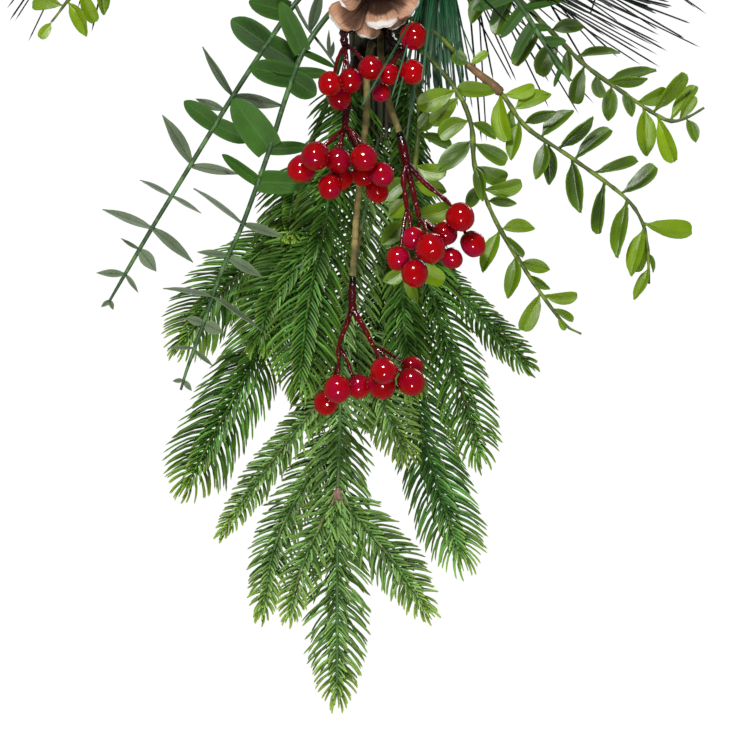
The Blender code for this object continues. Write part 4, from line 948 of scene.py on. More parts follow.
def model_sheet(name, width, length, outline, fold, lift, thickness, bow=0.0):
    """A leaf from a grid. The outline gives (share of the length, share of the half width) row by row.

    Bow pushes its middle to one side, by this share of its width.
    """
    rows = len(outline) - 1
    to_size = Matrix.Diagonal((width * MM, length * MM, MM, 1)) @ Matrix.Translation((0, 0.5, 0))
    leaf = primitive(
        bpy.ops.mesh.primitive_grid_add, name, to_size, x_subdivisions=COLUMNS, y_subdivisions=rows, size=1.0
    )
    bpy.ops.object.mode_set(mode="EDIT")
    for row, (share, half) in enumerate(outline):
        select_row(row / rows * length)
        bpy.ops.transform.resize(value=(half, 1, 1), center_override=(0, row / rows * length * MM, 0))
    moves = [(row, share - row / rows) for row, (share, half) in enumerate(outline)]
    # Rows that move out start at the tip and those that move in at the foot, so that no row crosses another
    outward = [(row, move) for row, move in reversed(moves) if move > 0]
    inward = [(row, move) for row, move in moves if move < 0]
    for row, move in outward + inward:
        select_row(row / rows * length)
        bpy.ops.transform.translate(value=(0, move * length * MM, 0))
    select_only(lambda co: abs(co.x) < FOLD_REACH * MM)
    bpy.ops.transform.translate(value=(0, 0, -fold * MM))
    select_only(lambda co: abs(co.x) > EDGE_FROM * width * MM)
    bpy.ops.transform.translate(value=(0, 0, lift * MM))
    for share, half in outline[1:-1] if bow else ():
        select_row(share * length)
        bpy.ops.transform.translate(value=(4 * share * (1 - share) * bow * width * MM, 0, 0))
    bpy.ops.object.mode_set(mode="OBJECT")
    sheet = leaf.modifiers.new("sheet", "SOLIDIFY")
    sheet.thickness = thickness * MM
    sheet.offset = 0.0
    bpy.ops.object.modifier_apply(modifier="sheet")
    return read_shape(leaf, width, length)


# The width and the length of each kind of leaf
BOXWOOD_SIZE, EUCALYPTUS_SIZE = (9.4, 21.0), (12.6, 31.0)
BLUNT_OUTLINE = (
    (0.0, 0.12), (0.1, 0.15), (0.18, 0.36), (0.28, 0.6), (0.4, 0.8), (0.53, 0.94), (0.66, 1.0), (0.78, 0.98),
    (0.88, 0.88), (0.95, 0.68), (1.0, 0.4),
)
POINTED_OUTLINE = (
    (0.0, 0.12), (0.1, 0.15), (0.17, 0.42), (0.27, 0.72), (0.38, 0.92), (0.5, 1.0), (0.62, 0.98),
    (0.74, 0.86), (0.85, 0.62), (0.94, 0.32), (1.0, 0.08),
)
OVAL_OUTLINE = (
    (0.0, 0.84), (0.06, 0.9), (0.14, 0.95), (0.24, 0.99), (0.36, 1.0), (0.5, 0.98), (0.64, 0.91),
    (0.78, 0.75), (0.89, 0.53), (0.96, 0.3), (1.0, 0.1),
)
LANCE_OUTLINE = (
    (0.0, 0.26), (0.08, 0.46), (0.18, 0.72), (0.3, 0.92), (0.43, 1.0), (0.56, 0.95), (0.68, 0.78),
    (0.79, 0.56), (0.88, 0.34), (0.95, 0.16), (1.0, 0.03),
)
BOXWOOD_LEAVES = (
    model_sheet("blunt_leaf", *BOXWOOD_SIZE, BLUNT_OUTLINE, 0.6, 0.7, 0.6),
    model_sheet("pointed_leaf", *BOXWOOD_SIZE, POINTED_OUTLINE, 0.7, 0.6, 0.6),
    model_sheet("bowed_leaf", *BOXWOOD_SIZE, BLUNT_OUTLINE, 0.5, 0.8, 0.6, bow=0.2),
    model_sheet("bowed_pointed_leaf", *BOXWOOD_SIZE, POINTED_OUTLINE, 0.6, 0.7, 0.6, bow=-0.2),
)
OVAL_LEAF = model_sheet("oval_leaf", *EUCALYPTUS_SIZE, OVAL_OUTLINE, 0.3, 0.4, 0.5)
LANCE_LEAF = model_sheet("lance_leaf", *EUCALYPTUS_SIZE, LANCE_OUTLINE, 0.45, 0.35, 0.5)

# %% [markdown]
# The pressed veins are drawn in the leaf's own flat coordinates: u runs across it and v from its foot to its
# tip. The midrib is a narrow line at the middle, and the side veins are slanting waves that fade to the
# edge. Boxwood is satin and bright yellow green. Eucalyptus is nearly matt, and its leaves turn grey along
# the stem, which is the young mark here: each leaf's age.

# %% Pressed leaf sheet
def leaf_sheet(name, greens, aged, rib, rim, roughness, gloss, rib_share, relief_by, veins):
    """Pressed plastic sheet: greens picked by leaf, an aged colour, veins, and a paler rim and tip that are
    partly painted light.
    """
    made, tree, shader = new_material(name, Roughness=roughness, IOR=1.5, Specular_IOR_Level=gloss)
    tint, young = (add(tree, "Attribute", attribute_name=key).outputs["Fac"] for key in ("tint", "young"))
    place = add(tree, "TexCoord")
    flat = add(tree, "SeparateXYZ", {"Vector": place.outputs["UV"]})
    # Greens by tint: a random tone on ruled leaves, and on listed leaves partly painted light and shade.
    ramp = add(tree, "ValToRGB", {"Fac": tint})
    ramp.color_ramp.elements[0].color = linear(greens[0])
    ramp.color_ramp.elements[1].color = linear(greens[2])
    ramp.color_ramp.elements.new(0.5).color = linear(greens[1])
    grown = add(tree, "Mix", {0: young, 6: ramp, 7: linear(aged)}, data_type="RGBA")
    spot = place.outputs["Object"]
    cloud = add(tree, "TexNoise", {"Vector": spot, "Scale": per_metre(14.0), "Detail": 4.0})
    span = {"From Min": 0.3, "From Max": 0.72, "To Min": 0.74, "To Max": 1.18}
    dusk = add(tree, "MapRange", {"Value": cloud, **span})
    body = add(tree, "VectorMath", {0: grown.outputs[2], "Scale": dusk}, operation="SCALE")
    off = add(tree, "Math", {0: flat.outputs["X"], 1: 0.5}, operation="SUBTRACT")
    side = add(tree, "Math", {0: off}, operation="ABSOLUTE")
    smooth = {"interpolation_type": "SMOOTHSTEP"}
    span = {"From Min": 0.0, "From Max": 0.055, "To Min": 1.0, "To Max": 0.0}
    middle = add(tree, "MapRange", {"Value": side, **span}, **smooth)
    slant = add(tree, "Math", {0: side, 1: -0.9, 2: flat.outputs["Y"]}, operation="MULTIPLY_ADD")
    wave = add(tree, "Math", {0: slant, 1: veins * 2 * math.pi}, operation="MULTIPLY")
    ripple = add(tree, "Math", {0: wave}, operation="SINE")
    crest = add(tree, "MapRange", {"Value": ripple, "From Min": 0.72, "From Max": 1.0}, **smooth)
    span = {"From Min": 0.02, "From Max": 0.42, "To Min": 0.55, "To Max": 0.0}
    fade = add(tree, "MapRange", {"Value": side, **span})
    vein = add(tree, "Math", {0: crest, 1: fade}, operation="MULTIPLY")
    lines = add(tree, "Math", {0: middle, 1: vein}, operation="MAXIMUM")
    amount = add(tree, "Math", {0: lines, 1: rib_share}, operation="MULTIPLY")
    ribbed = add(tree, "Mix", {0: amount, 6: body, 7: linear(rib)}, data_type="RGBA")
    # The paler rim and tip: partly the sheet's own tone, partly painted light shining through the thin edge.
    span = {"From Min": 0.3, "From Max": 0.5, "To Min": 0.0, "To Max": 0.55}
    edge = add(tree, "MapRange", {"Value": side, **span}, **smooth)
    span = {"From Min": 0.55, "From Max": 1.05, "To Min": 0.0, "To Max": 0.6}
    tip = add(tree, "MapRange", {"Value": flat.outputs["Y"], **span}, **smooth)
    pale = add(tree, "Math", {0: edge, 1: tip}, operation="MAXIMUM")
    mix = add(tree, "Mix", {0: pale, 6: ribbed.outputs[2], 7: linear(rim)}, data_type="RGBA")
    fine = add(tree, "TexNoise", {"Vector": spot, "Scale": per_metre(3.0), "Detail": 2.0})
    height = add(tree, "Math", {0: fine, 1: 0.2, 2: lines}, operation="MULTIPLY_ADD")
    sunk = {"Height": height, "Strength": relief_by, "Distance": 0.0004}
    relief = add(tree, "Bump", sunk, invert=True)
    dress(tree, shader, mix, relief)
    return made


EUCALYPTUS_SHEET = leaf_sheet(
    "eucalyptus_pressed_sheet", ("153005", "25430D", "37601B"), "25430D", "4A6E36", "31571A",
    0.55, 0.15, 0.25, 0.25, 6.0,
)
GREY_SHEET = leaf_sheet(
    "aged_eucalyptus_sheet", ("2E4A26", "56624C", "66725A"), "56634C", "2E3A22", "5C6A50",
    0.6, 0.15, 0.7, 0.6, 6.0,
)
BOXWOOD_SHEET = leaf_sheet(
    "boxwood_pressed_sheet", ("24360C", "3E5806", "668002"), "5E7808", "6E8E24", "567808",
    0.4, 0.4, 0.2, 0.35, 8.0,
)
EUCALYPTUS_STEM = patchy_plastic("eucalyptus_stem_polyethylene", "223E18", "426230", 6.0, 0.5)
BOXWOOD_STEM = patchy_plastic("boxwood_stem_polyethylene", "364604", "5A6C0A", 9.0, 0.5, 0.6)
STUB_WOOD = patchy_plastic("brown_stem_stub", "54401E", "74502E", 5.0, 0.5, 0.7)
print("leaf materials:", EUCALYPTUS_SHEET.name, GREY_SHEET.name, BOXWOOD_SHEET.name)

# %% [markdown]
# The stems that the photo shows have their leaves where it shows them, each with a brightness from 0, the
# darkest, to 9. That brightness is partly the leaf's own tone and partly painted light and shade: as lit or
# shaded as the leaf looks where it sits. The turn of a leaf follows from the width it shows. Stems out of
# view carry opposite pairs, placed by rule.

# %% Eucalyptus and boxwood stems
# A leaf is (x and z of its start, x and z of its tip, the width seen from the front). Green is the age past
# which leaves are grey and narrow, and fresh lists the leaves that stay green.
# The digit string that goes with the leaves gives each leaf's brightness: partly its own tone, partly painted
# light and shade.
EUCALYPTUS_STEMS = (
    {
        "name": "eucalyptus_left_outer", "green": 0.36, "tones_and_light": "31135355445454554545", "fresh": (6, 7),
        "route": [
            *leaving(-71, 198), (-23, -38, -74), (-38.5, -48, -90), (-52, -50, -109), (-71, -50, -138),
            (-92.5, -50, -173), (-111.5, -49, -204), (-125, -47, -227), (-134, -46, -242.5),
        ],
        "leaves": (
            (-42.5, -96, -62.5, -91, 12), (-55, -111, -72, -99.5, 13.5), (-55, -111, -38.5, -122, 13.5),
            (-72, -138, -87.5, -114, 4), (-71.5, -138, -46.5, -144, 6.5), (-75.5, -144, -90, -139.5, 4.5),
            (-80.5, -152, -95, -141, 9.5), (-80, -152, -63, -160.5, 9.5), (-92.5, -171.5, -105, -147.5, 6.5),
            (-92, -173.5, -68, -176, 5), (-101, -188, -117, -179.5, 2.5), (-100.5, -188, -86.5, -196, 2.5),
            (-111.5, -204, -135.5, -194, 4.5), (-111, -205, -90, -220, 5.5), (-119, -214, -109.5, -225.5, 7),
            (-118.5, -213.5, -127.5, -209.5, 2), (-125, -226.5, -139, -226, 4),
            (-124.5, -227, -118, -236, 2.5), (-132.5, -240, -137, -243.5, 2.5),
            (-132.5, -240, -131, -245, 2.5),
        ),
        "twig": {
            "route": [
                (-40, -48.5, -92), (-36.5, -50, -99), (-32.5, -51, -105.5), (-25, -53, -115),
                (-19, -55, -124),
            ],
            "leaves": (
                (-32.5, -105.5, -26, -84, 5.5), (-22.5, -118.5, -24, -105, 2), (-22, -119, -20.5, -111, 2.5),
            ),
            "tones_and_light": "212",
        },
    },
    {
        "name": "eucalyptus_left_inner", "green": 0.56, "tones_and_light": "6422448457122121221212",
        "route": [
            *leaving(-88, 222), (-22, -50, -96), (-35.5, -60, -115.5), (-45, -61, -140.5), (-53, -61, -166),
            (-66, -60, -202), (-76, -59, -224), (-84.5, -58, -248.5), (-93.5, -57, -273.5), (-97, -57, -285),
        ],
        "leaves": (
            (-36, -116, -47, -92, 10), (-35.5, -116.5, -19.5, -123, 3.5), (-40, -129.5, -62, -124, 13),
            (-40, -130, -29.5, -138, 12.5), (-39.5, -126.5, -52, -125, 3), (-39, -126.5, -23, -127, 6),
            (-53, -164, -70.5, -140.5, 16.5), (-52.5, -164.5, -33, -163.5, 7), (-60, -181, -35.5, -182, 12),
            (-60, -180.5, -77, -168, 6), (-66, -201.5, -89.5, -183.5, 2.5), (-66, -202, -45, -208, 4.5),
            (-72.5, -218.5, -88.5, -215.5, 3.5), (-73, -219, -56, -228, 5.5),
            (-80.5, -238, -105, -232.5, 2.5), (-80.5, -238.5, -56, -254, 2.5),
            (-86, -251.5, -94.5, -249, 4.5), (-86, -252, -76, -256.5, 6.5),
            (-89.5, -264.5, -103.5, -263.5, 2), (-89.5, -265, -80.5, -272.5, 2.5),
            (-95.5, -280, -101, -280.5, 2.5), (-95.5, -280, -91.5, -285.5, 3),
        ),
    },
    {
        "name": "eucalyptus_right", "green": 1.1, "tones_and_light": "4342134211223", "stem": (2.0, 1.3),
        "route": [
            *leaving(-73, -38), (34, -50, -66), (58, -58, -76), (71, -61, -91), (80.5, -62, -105.5),
            (89, -62, -118.5), (97.5, -62, -131),
        ],
        "leaves": (
            (38, -68, 50, -54, 9), (40, -69, 32, -84, 8), (53, -74, 70, -66, 8), (55, -75, 47, -91, 7),
            (69, -88, 49, -95, 6.5), (66, -86, 58, -103, 6), (73, -95, 63, -109, 6), (73, -95, 90, -91, 3.5),
            (78, -103, 68.5, -119, 5.5), (80, -103, 88, -104.5, 4), (84, -111, 95, -111, 5.5),
            (89, -117, 95, -128, 4), (93, -124, 89, -133.5, 2.5),
        ),
    },
    {
        "name": "eucalyptus_top", "green": 0.62, "bare": 24.0, "pitch": 20.0,
        "route": [*leaving(-51, -60), (16, -44, -34), (30, -50, 4), (40, -52, 46), (46, -52, 92)],
    },
)

BOXWOOD_STEMS = (
    {
        "name": "boxwood_right_middle", "tones_and_light": "486985683211201201588775",
        "stub": ((46.5, -123), (62.5, -137)),
        "route": [
            *leaving(-98, -28), (30, -44, -106), (46.5, -52, -122.5), (62.5, -54, -136), (75.5, -54, -153.5),
            (97.5, -54, -168.5), (123.5, -54, -187.5), (133, -54, -200), (136, -54, -212.5),
            (137, -54, -232),
        ],
        "leaves": (
            (46, -123, 39.5, -117, 7.5), (48, -122, 56, -115.5, 4.5), (62, -137, 42, -134, 8),
            (63.5, -137, 80, -133.5, 7), (61.5, -138, 64.5, -160, 9), (68.5, -143.5, 69, -157, 5.5),
            (69, -152, 66.5, -169, 7), (70.5, -145, 88, -136, 8.5), (75, -151, 90.5, -147.5, 5.5),
            (84.5, -157, 98.5, -144, 7.5), (93.5, -162, 110, -151.5, 6), (100.5, -168, 116, -152.5, 7.5),
            (85, -159, 79.5, -179, 7.5), (87, -160.5, 88.5, -182.5, 7), (99, -168.5, 100.5, -196, 8),
            (110, -175, 130.5, -168, 5.5), (114.5, -182, 108.5, -205.5, 5.5),
            (123.5, -185.5, 139.5, -172, 8), (125, -191.5, 117.5, -217, 7), (134, -201.5, 159, -203, 9.5),
            (132.5, -204.5, 125.5, -226, 7.5), (134.5, -208.5, 133, -226.5, 4.5),
            (135, -223.5, 128, -238.5, 5), (136.5, -216, 140, -226, 2.5),
        ),
    },
    {
        "name": "boxwood_right_low", "tones_and_light": "886323246127635648867",
        "route": [
            *leaving(-108, -48), (26, -52, -118), (41, -62, -136), (48, -66, -153), (49.5, -66, -172),
            (54.5, -66, -187.5), (62.5, -65, -205), (78.5, -64, -230.5), (94, -62, -251.5), (103, -62, -257),
        ],
        "leaves": (
            (40.5, -135.5, 22.5, -143, 11), (40.5, -139, 28, -152.5, 8.5), (47.5, -151, 32.5, -158.5, 9.5),
            (48.5, -151.5, 61, -159, 5.5), (47, -160, 31, -174.5, 9.5), (49, -161.5, 66, -171, 8),
            (49, -172.5, 52, -190.5, 6), (51, -172.5, 66, -179.5, 9), (53.5, -184.5, 72.5, -182.5, 8),
            (52.5, -182.5, 46, -194.5, 7), (56, -190.5, 70, -193, 5), (63.5, -205, 80, -203.5, 7),
            (62.5, -205.5, 52, -224.5, 7), (65, -205.5, 75.5, -217, 4), (70, -218, 64.5, -238, 7.5),
            (72.5, -221, 87.5, -225, 7), (77, -226.5, 86, -235.5, 4), (81.5, -237.5, 74.5, -256, 8.5),
            (84, -237.5, 100, -239, 6), (89, -244, 99.5, -249.5, 4), (91, -248, 94.5, -255, 3),
        ),
    },
    {
        "name": "boxwood_right_top", "tones_and_light": "2313111212135426789775",
        "route": [
            *leaving(-84, -8), (34, -32, -76), (66, -34, -85), (87, -35, -104), (104.5, -36, -121.5),
            (124.5, -36, -136), (145.5, -36, -149.5), (156, -36, -148.5), (165, -36, -143.5),
        ],
        "leaves": (
            (56, -82, 47, -100, 8), (62, -83, 84, -74, 8), (70, -87, 60, -106, 8), (76, -92, 96, -88, 8),
            (83, -103, 68.5, -119.5, 7.5), (87, -105, 105, -103, 7.5), (92.5, -111, 83, -126.5, 10),
            (101.5, -118, 122.5, -113.5, 4.5), (94.5, -115, 96, -127.5, 5), (104, -123.5, 101.5, -142, 8),
            (110, -128.5, 114, -138, 6.5), (117, -128.5, 140.5, -122.5, 5.5), (117, -130, 136, -131, 5),
            (117.5, -133, 117, -150.5, 8), (122.5, -137, 128.5, -147.5, 6), (131, -141, 146.5, -135, 8),
            (140, -145, 156, -128, 7), (133, -146.5, 137.5, -168, 10), (140.5, -150, 148, -170.5, 8),
            (148, -150, 159, -131, 6.5), (152, -149.5, 160.5, -138.5, 5.5), (156, -149.5, 161, -161, 6),
        ),
    },
    {
        "name": "boxwood_centre", "tones_and_light": "53784868696",
        "route": [
            *leaving(-118, -66), (20, -48, -130), (22, -54, -150), (19, -55, -180), (15, -54, -208),
            (14, -52, -232),
        ],
        "leaves": (
            (20, -157, 27.5, -147.5, 8.5), (21, -156.5, 39, -161.5, 6), (20, -172, 35, -176, 9),
            (22, -181, 36, -186, 9), (19, -179.5, 5.5, -189, 9.5), (19, -190, 7, -198.5, 9.5),
            (16, -200.5, 3.5, -212, 9.5), (20, -197.5, 37.5, -194, 10), (14.5, -224, 4.5, -230.5, 7.5),
            (16, -221, 35, -230.5, 9.5), (15, -229, 20, -241.5, 5.5),
        ),
    },
    {
        "name": "boxwood_left_top", "tones_and_light": "34345656657678989",
        "route": [
            *leaving(-76, 168), (-34, -28, -66), (-80, -34, -60), (-118, -38, -68), (-146, -38, -82),
            (-162, -38, -100.5),
        ],
        "leaves": (
            (-60, -62, -70, -47, 8), (-60, -62, -66, -79, 8), (-76, -60, -87, -46, 8),
            (-76, -60, -83, -77, 8.5), (-92, -61.5, -104, -49, 8), (-92, -61.5, -99, -78, 8),
            (-107, -65, -119, -54, 7.5), (-107, -65, -113, -81, 7.5), (-121, -69, -134, -60, 7),
            (-121, -69, -126, -85, 7), (-134, -75, -148, -69, 7), (-137, -78, -134.5, -97, 6.5),
            (-147, -84, -160, -80, 6.5), (-146, -83, -139.5, -100.5, 7), (-154, -90, -145.8, -108, 7),
            (-156, -92, -172, -92, 7.5), (-162, -100, -167.5, -108.5, 5.5),
        ),
    },
)
print(len(EUCALYPTUS_STEMS), "eucalyptus stems and", len(BOXWOOD_STEMS), "boxwood stems")

# %% Leaves on their stems
# Pairs give how far a leaf points (outwards, to the viewer, against its twin), and taper how leaf size falls
# along the stem: (share at the start, loss at the end, power). Narrowest is the least width for the length.
KINDS = {
    "boxwood": {
        "size": BOXWOOD_SIZE, "narrowest": 0.42, "bend": -0.12,
        "pairs": ((1.0, 0.55, 0.0), (1.0, -0.25, 0.0)), "lean": 0.62, "taper": (1.0, 0.35, 3.0),
        "stem": (1.35, 0.95), "film": BOXWOOD_STEM, "knobs": 0.28, "ages": 0.0,
    },
    "eucalyptus": {
        "size": EUCALYPTUS_SIZE, "narrowest": 0.3, "bend": -0.06,
        "pairs": ((0.75, 0.0, 0.55), (0.95, 0.0, 0.2)), "lean": 0.5, "taper": (1.1, 0.62, 1.6),
        "stem": (1.5, 1.05), "film": EUCALYPTUS_STEM, "knobs": 0.0, "ages": 1.0,
    },
}
# Every second leaf leans towards the viewer and the rest away, and they roll to opposite sides
LEANS, ROLLS = (0.32, -0.12), (1, -1)
BENDS, BRIGHTEST = (0.6, 1.4), 9
# Pairs placed by rule: their sizes, how far a leaf points off the rule, its roll, and the stem's bare end
RULED_SIZES, POINTS_BY, RULED_ROLLS, BARE_END = (0.9, 1.06), 0.15, (5, 35), 3.0


def seen_leaves(kind, spec, route, draw):
    """Leaves by where each starts and ends, seen from the front, and how wide it looks there."""
    places = []
    for number, (x, z, tip_x, tip_z, looks) in enumerate(spec["leaves"]):
        distance = route.nearest(x, z)
        root = route.at(distance)
        flat = Vector((tip_x - root.x, 0, tip_z - root.z))
        way = flat + FRONT * flat.length * LEANS[number % 2]
        width = max(looks, kind["narrowest"] * way.length)
        roll = math.degrees(math.acos(looks / width)) * ROLLS[number % 2]
        up = turned(FRONT, way.normalized(), roll)
        bend = kind["bend"] * draw.uniform(*BENDS)
        # Painted light and shade: this brightness copies how lit or shaded the leaf looks, as well as its
        # tone.
        shade = int(spec["tones_and_light"][number]) / BRIGHTEST
        aged = 0.0 if number in spec.get("fresh", ()) else kind["ages"] * distance / route.length
        places.append((root, way, up, width, way.length, bend, shade, aged))
    return places


def ruled_leaves(kind, spec, route, draw):
    """Leaves in opposite pairs at an even pitch, each pair turned from the one before."""
    places = []
    (width, length), (first, drop, power) = kind["size"], kind["taper"]
    distance, number = spec["bare"], 0
    while distance < route.length - BARE_END:
        forward = route.tangent(distance)
        across = forward.cross(FRONT).normalized()
        scale = first - drop * (distance / route.length) ** power
        wide, lift, twist = kind["pairs"][number % 2]
        for sign in (1, -1):
            size = scale * draw.uniform(*RULED_SIZES)
            out = across * sign * wide + FRONT * (lift + sign * twist + draw.uniform(-POINTS_BY, POINTS_BY))
            way = out + forward * kind["lean"]
            up = turned(FRONT, forward, sign * draw.uniform(*RULED_ROLLS))
            sizes = (width * size, length * size, kind["bend"] * draw.uniform(*BENDS))
            places.append((route.at(distance), way, up, *sizes, draw.random(), distance / route.length))
        distance += spec["pitch"]
        number += 1
    return places


# %% Each leafy stem
LEAF_SEED, BOXWOOD_SEED = 300, 310
STUB_RADII = ((0, 1.7), (0.5, 2.1), (0.8, 2.5), (0.97, 2.6), (1, 2.0))
AGE = 7


def leaf_copies(name, look, places, green, draw):
    """The leaves of one stem: boxwood in four mixed shapes, eucalyptus oval and then grey and narrow."""
    if look == "boxwood":
        draw.shuffle(places)
        shared = [places[k :: len(BOXWOOD_LEAVES)] for k in range(len(BOXWOOD_LEAVES))]
        groups = [(shape, part, BOXWOOD_SHEET) for shape, part in zip(BOXWOOD_LEAVES, shared)]
    else:
        fresh = [place for place in places if place[AGE] < green]
        aged = [place for place in places if place[AGE] >= green]
        groups = [(OVAL_LEAF, fresh, EUCALYPTUS_SHEET), (LANCE_LEAF, aged, GREY_SHEET)]
    made = []
    for shape, part, sheet in groups:
        if part:
            made.append(coat(copies(f"{name}_{shape['name']}", shape, part), sheet))
    return made


def make_leafy(spec, number, look):
    """One stem with its leaves."""
    draw = random.Random(number)
    kind, name = KINDS[look], spec["name"]
    route = Route(spec["route"])
    places = (seen_leaves if "leaves" in spec else ruled_leaves)(kind, spec, route, draw)
    thick, thin = spec.get("stem", kind["stem"])
    radii = ((0, thick), (0.9, thin), (1, thin * 0.6))
    stems = [coat(stem(name + "_stem", route, radii, step=3.0, knobs=kind["knobs"], draw=draw), kind["film"])]
    if "twig" in spec:
        twig = Route(spec["twig"]["route"])
        places += seen_leaves(kind, spec["twig"], twig, draw)
        stems.append(coat(stem(name + "_twig", twig, ((0, 1.0), (1, 0.5)), sides=6), kind["film"]))
    if "stub" in spec:
        start, end = (route.nearest(*place) for place in spec["stub"])
        wood = Route([route.at(start + (end - start) * k / 4) for k in range(5)])
        stub = stem(name + "_stub", wood, STUB_RADII, sides=10, step=1.5, knobs=0.08, draw=draw)
        stems.append(coat(stub, STUB_WOOD))
    leaves = leaf_copies(name, look, places, spec.get("green"), draw)
    hand_over(name + "_spray", [*leaves, *stems], name, angle=50)


for number, spec in enumerate(EUCALYPTUS_STEMS):
    make_leafy(spec, LEAF_SEED + number, "eucalyptus")
for number, spec in enumerate(BOXWOOD_STEMS):
    make_leafy(spec, BOXWOOD_SEED + number, "boxwood")

# %% [markdown]
# ## Berries
#
# The berries are foam balls 9 to 15 mm across, dipped in red lacquer, a little taller than wide, with a
# small dimple where the wire goes in. They are a sphere whose pole is pushed in, made slightly uneven, so
# each one catches the light elsewhere. Every berry has its place from the photo. The twigs that carry them
# are dipped too, which left knobs on them.

# %% A berry, modelled once
BERRY_SIZE = 13.0
# As shares of its size: how deep the dimple and the flat end are, how wide and high the lumps are, and where
# its two poles begin
DIMPLE, FLAT_END, LUMP_WIDE, LUMP_HIGH = 0.07, 0.03, 0.55, 0.09
FOOT_POLE, END_POLE = 0.01, 0.995

ball = primitive(
    bpy.ops.mesh.primitive_uv_sphere_add, "berry", Matrix.Translation((0, BERRY_SIZE / 2 * MM, 0)),
    segments=24, ring_count=16, radius=BERRY_SIZE / 2 * MM, rotation=(math.pi / 2, 0, 0),
)
bpy.ops.object.mode_set(mode="EDIT")
select_only(lambda co: co.y < FOOT_POLE * BERRY_SIZE * MM)
bpy.ops.transform.translate(value=(0, DIMPLE * BERRY_SIZE * MM, 0))
select_only(lambda co: co.y > END_POLE * BERRY_SIZE * MM)
bpy.ops.transform.translate(value=(0, -FLAT_END * BERRY_SIZE * MM, 0))
bpy.ops.object.mode_set(mode="OBJECT")
lumps = bpy.data.textures.new("berry_lumps", "CLOUDS")
lumps.noise_scale = LUMP_WIDE * BERRY_SIZE * MM
uneven = ball.modifiers.new("uneven", "DISPLACE")
uneven.texture = lumps
uneven.texture_coords = "LOCAL"
uneven.strength = LUMP_HIGH * BERRY_SIZE * MM
bpy.ops.object.modifier_apply(modifier="uneven")
BERRY = read_shape(ball, BERRY_SIZE, BERRY_SIZE)

# %% [markdown]
# Lacquer is a deep, clear and very glossy red, so the two softboxes show in it as two small lights. It is
# darker towards the stem. A fine bump breaks the lights up a little, as on dipped foam.

# %% Red lacquer
def lacquer(name, red, dark, blush, rough, dent, relief_by):
    """Dipped red lacquer, darker towards the stem, with a cooler blush, on a slightly uneven body."""
    made, tree, shader = new_material(name, Roughness=rough, IOR=1.5, Specular_IOR_Level=0.5)
    tint, along = (add(tree, "Attribute", attribute_name=key).outputs["Fac"] for key in ("tint", "along"))
    place = add(tree, "TexCoord").outputs["Object"]
    cloud = add(tree, "TexNoise", {"Vector": place, "Scale": per_metre(7.0), "Detail": 3.0})
    # Darker towards the stem end of each berry and twig.
    span = {"From Min": 0.0, "From Max": 0.35, "To Min": 0.6, "To Max": 0.0}
    toward_stem = add(tree, "MapRange", {"Value": along, **span})
    uneven = add(tree, "Math", {0: cloud, 1: 0.5, 2: -0.1}, operation="MULTIPLY_ADD")
    both = add(tree, "Math", {0: toward_stem, 1: uneven}, operation="ADD")
    dusk = add(tree, "Math", {0: tint, 1: 0.35, 2: both}, operation="MULTIPLY_ADD", use_clamp=True)
    cool = add(tree, "TexNoise", {"Vector": place, "Scale": per_metre(11.0), "Detail": 1.0})
    spread = add(tree, "MapRange", {"Value": cool, "From Min": 0.5, "From Max": 0.7})
    body = add(tree, "Mix", {0: spread, 6: linear(red), 7: linear(blush)}, data_type="RGBA")
    mix = add(tree, "Mix", {0: dusk, 6: body.outputs[2], 7: linear(dark)}, data_type="RGBA")
    dents = add(tree, "TexNoise", {"Vector": place, "Scale": per_metre(dent), "Detail": 2.0})
    relief = add(tree, "Bump", {"Height": dents, "Strength": relief_by, "Distance": 0.0006})
    dress(tree, shader, mix, relief)
    return made


BERRY_LACQUER = lacquer("berry_red_lacquer", "900207", "3E0103", "8C0428", 0.1, 2.4, 0.16)
TWIG_LACQUER = lacquer("twig_crimson_lacquer", "5A070D", "0C0305", "3A0C14", 0.14, 1.5, 0.7)
print("berry materials:", BERRY_LACQUER.name, TWIG_LACQUER.name)

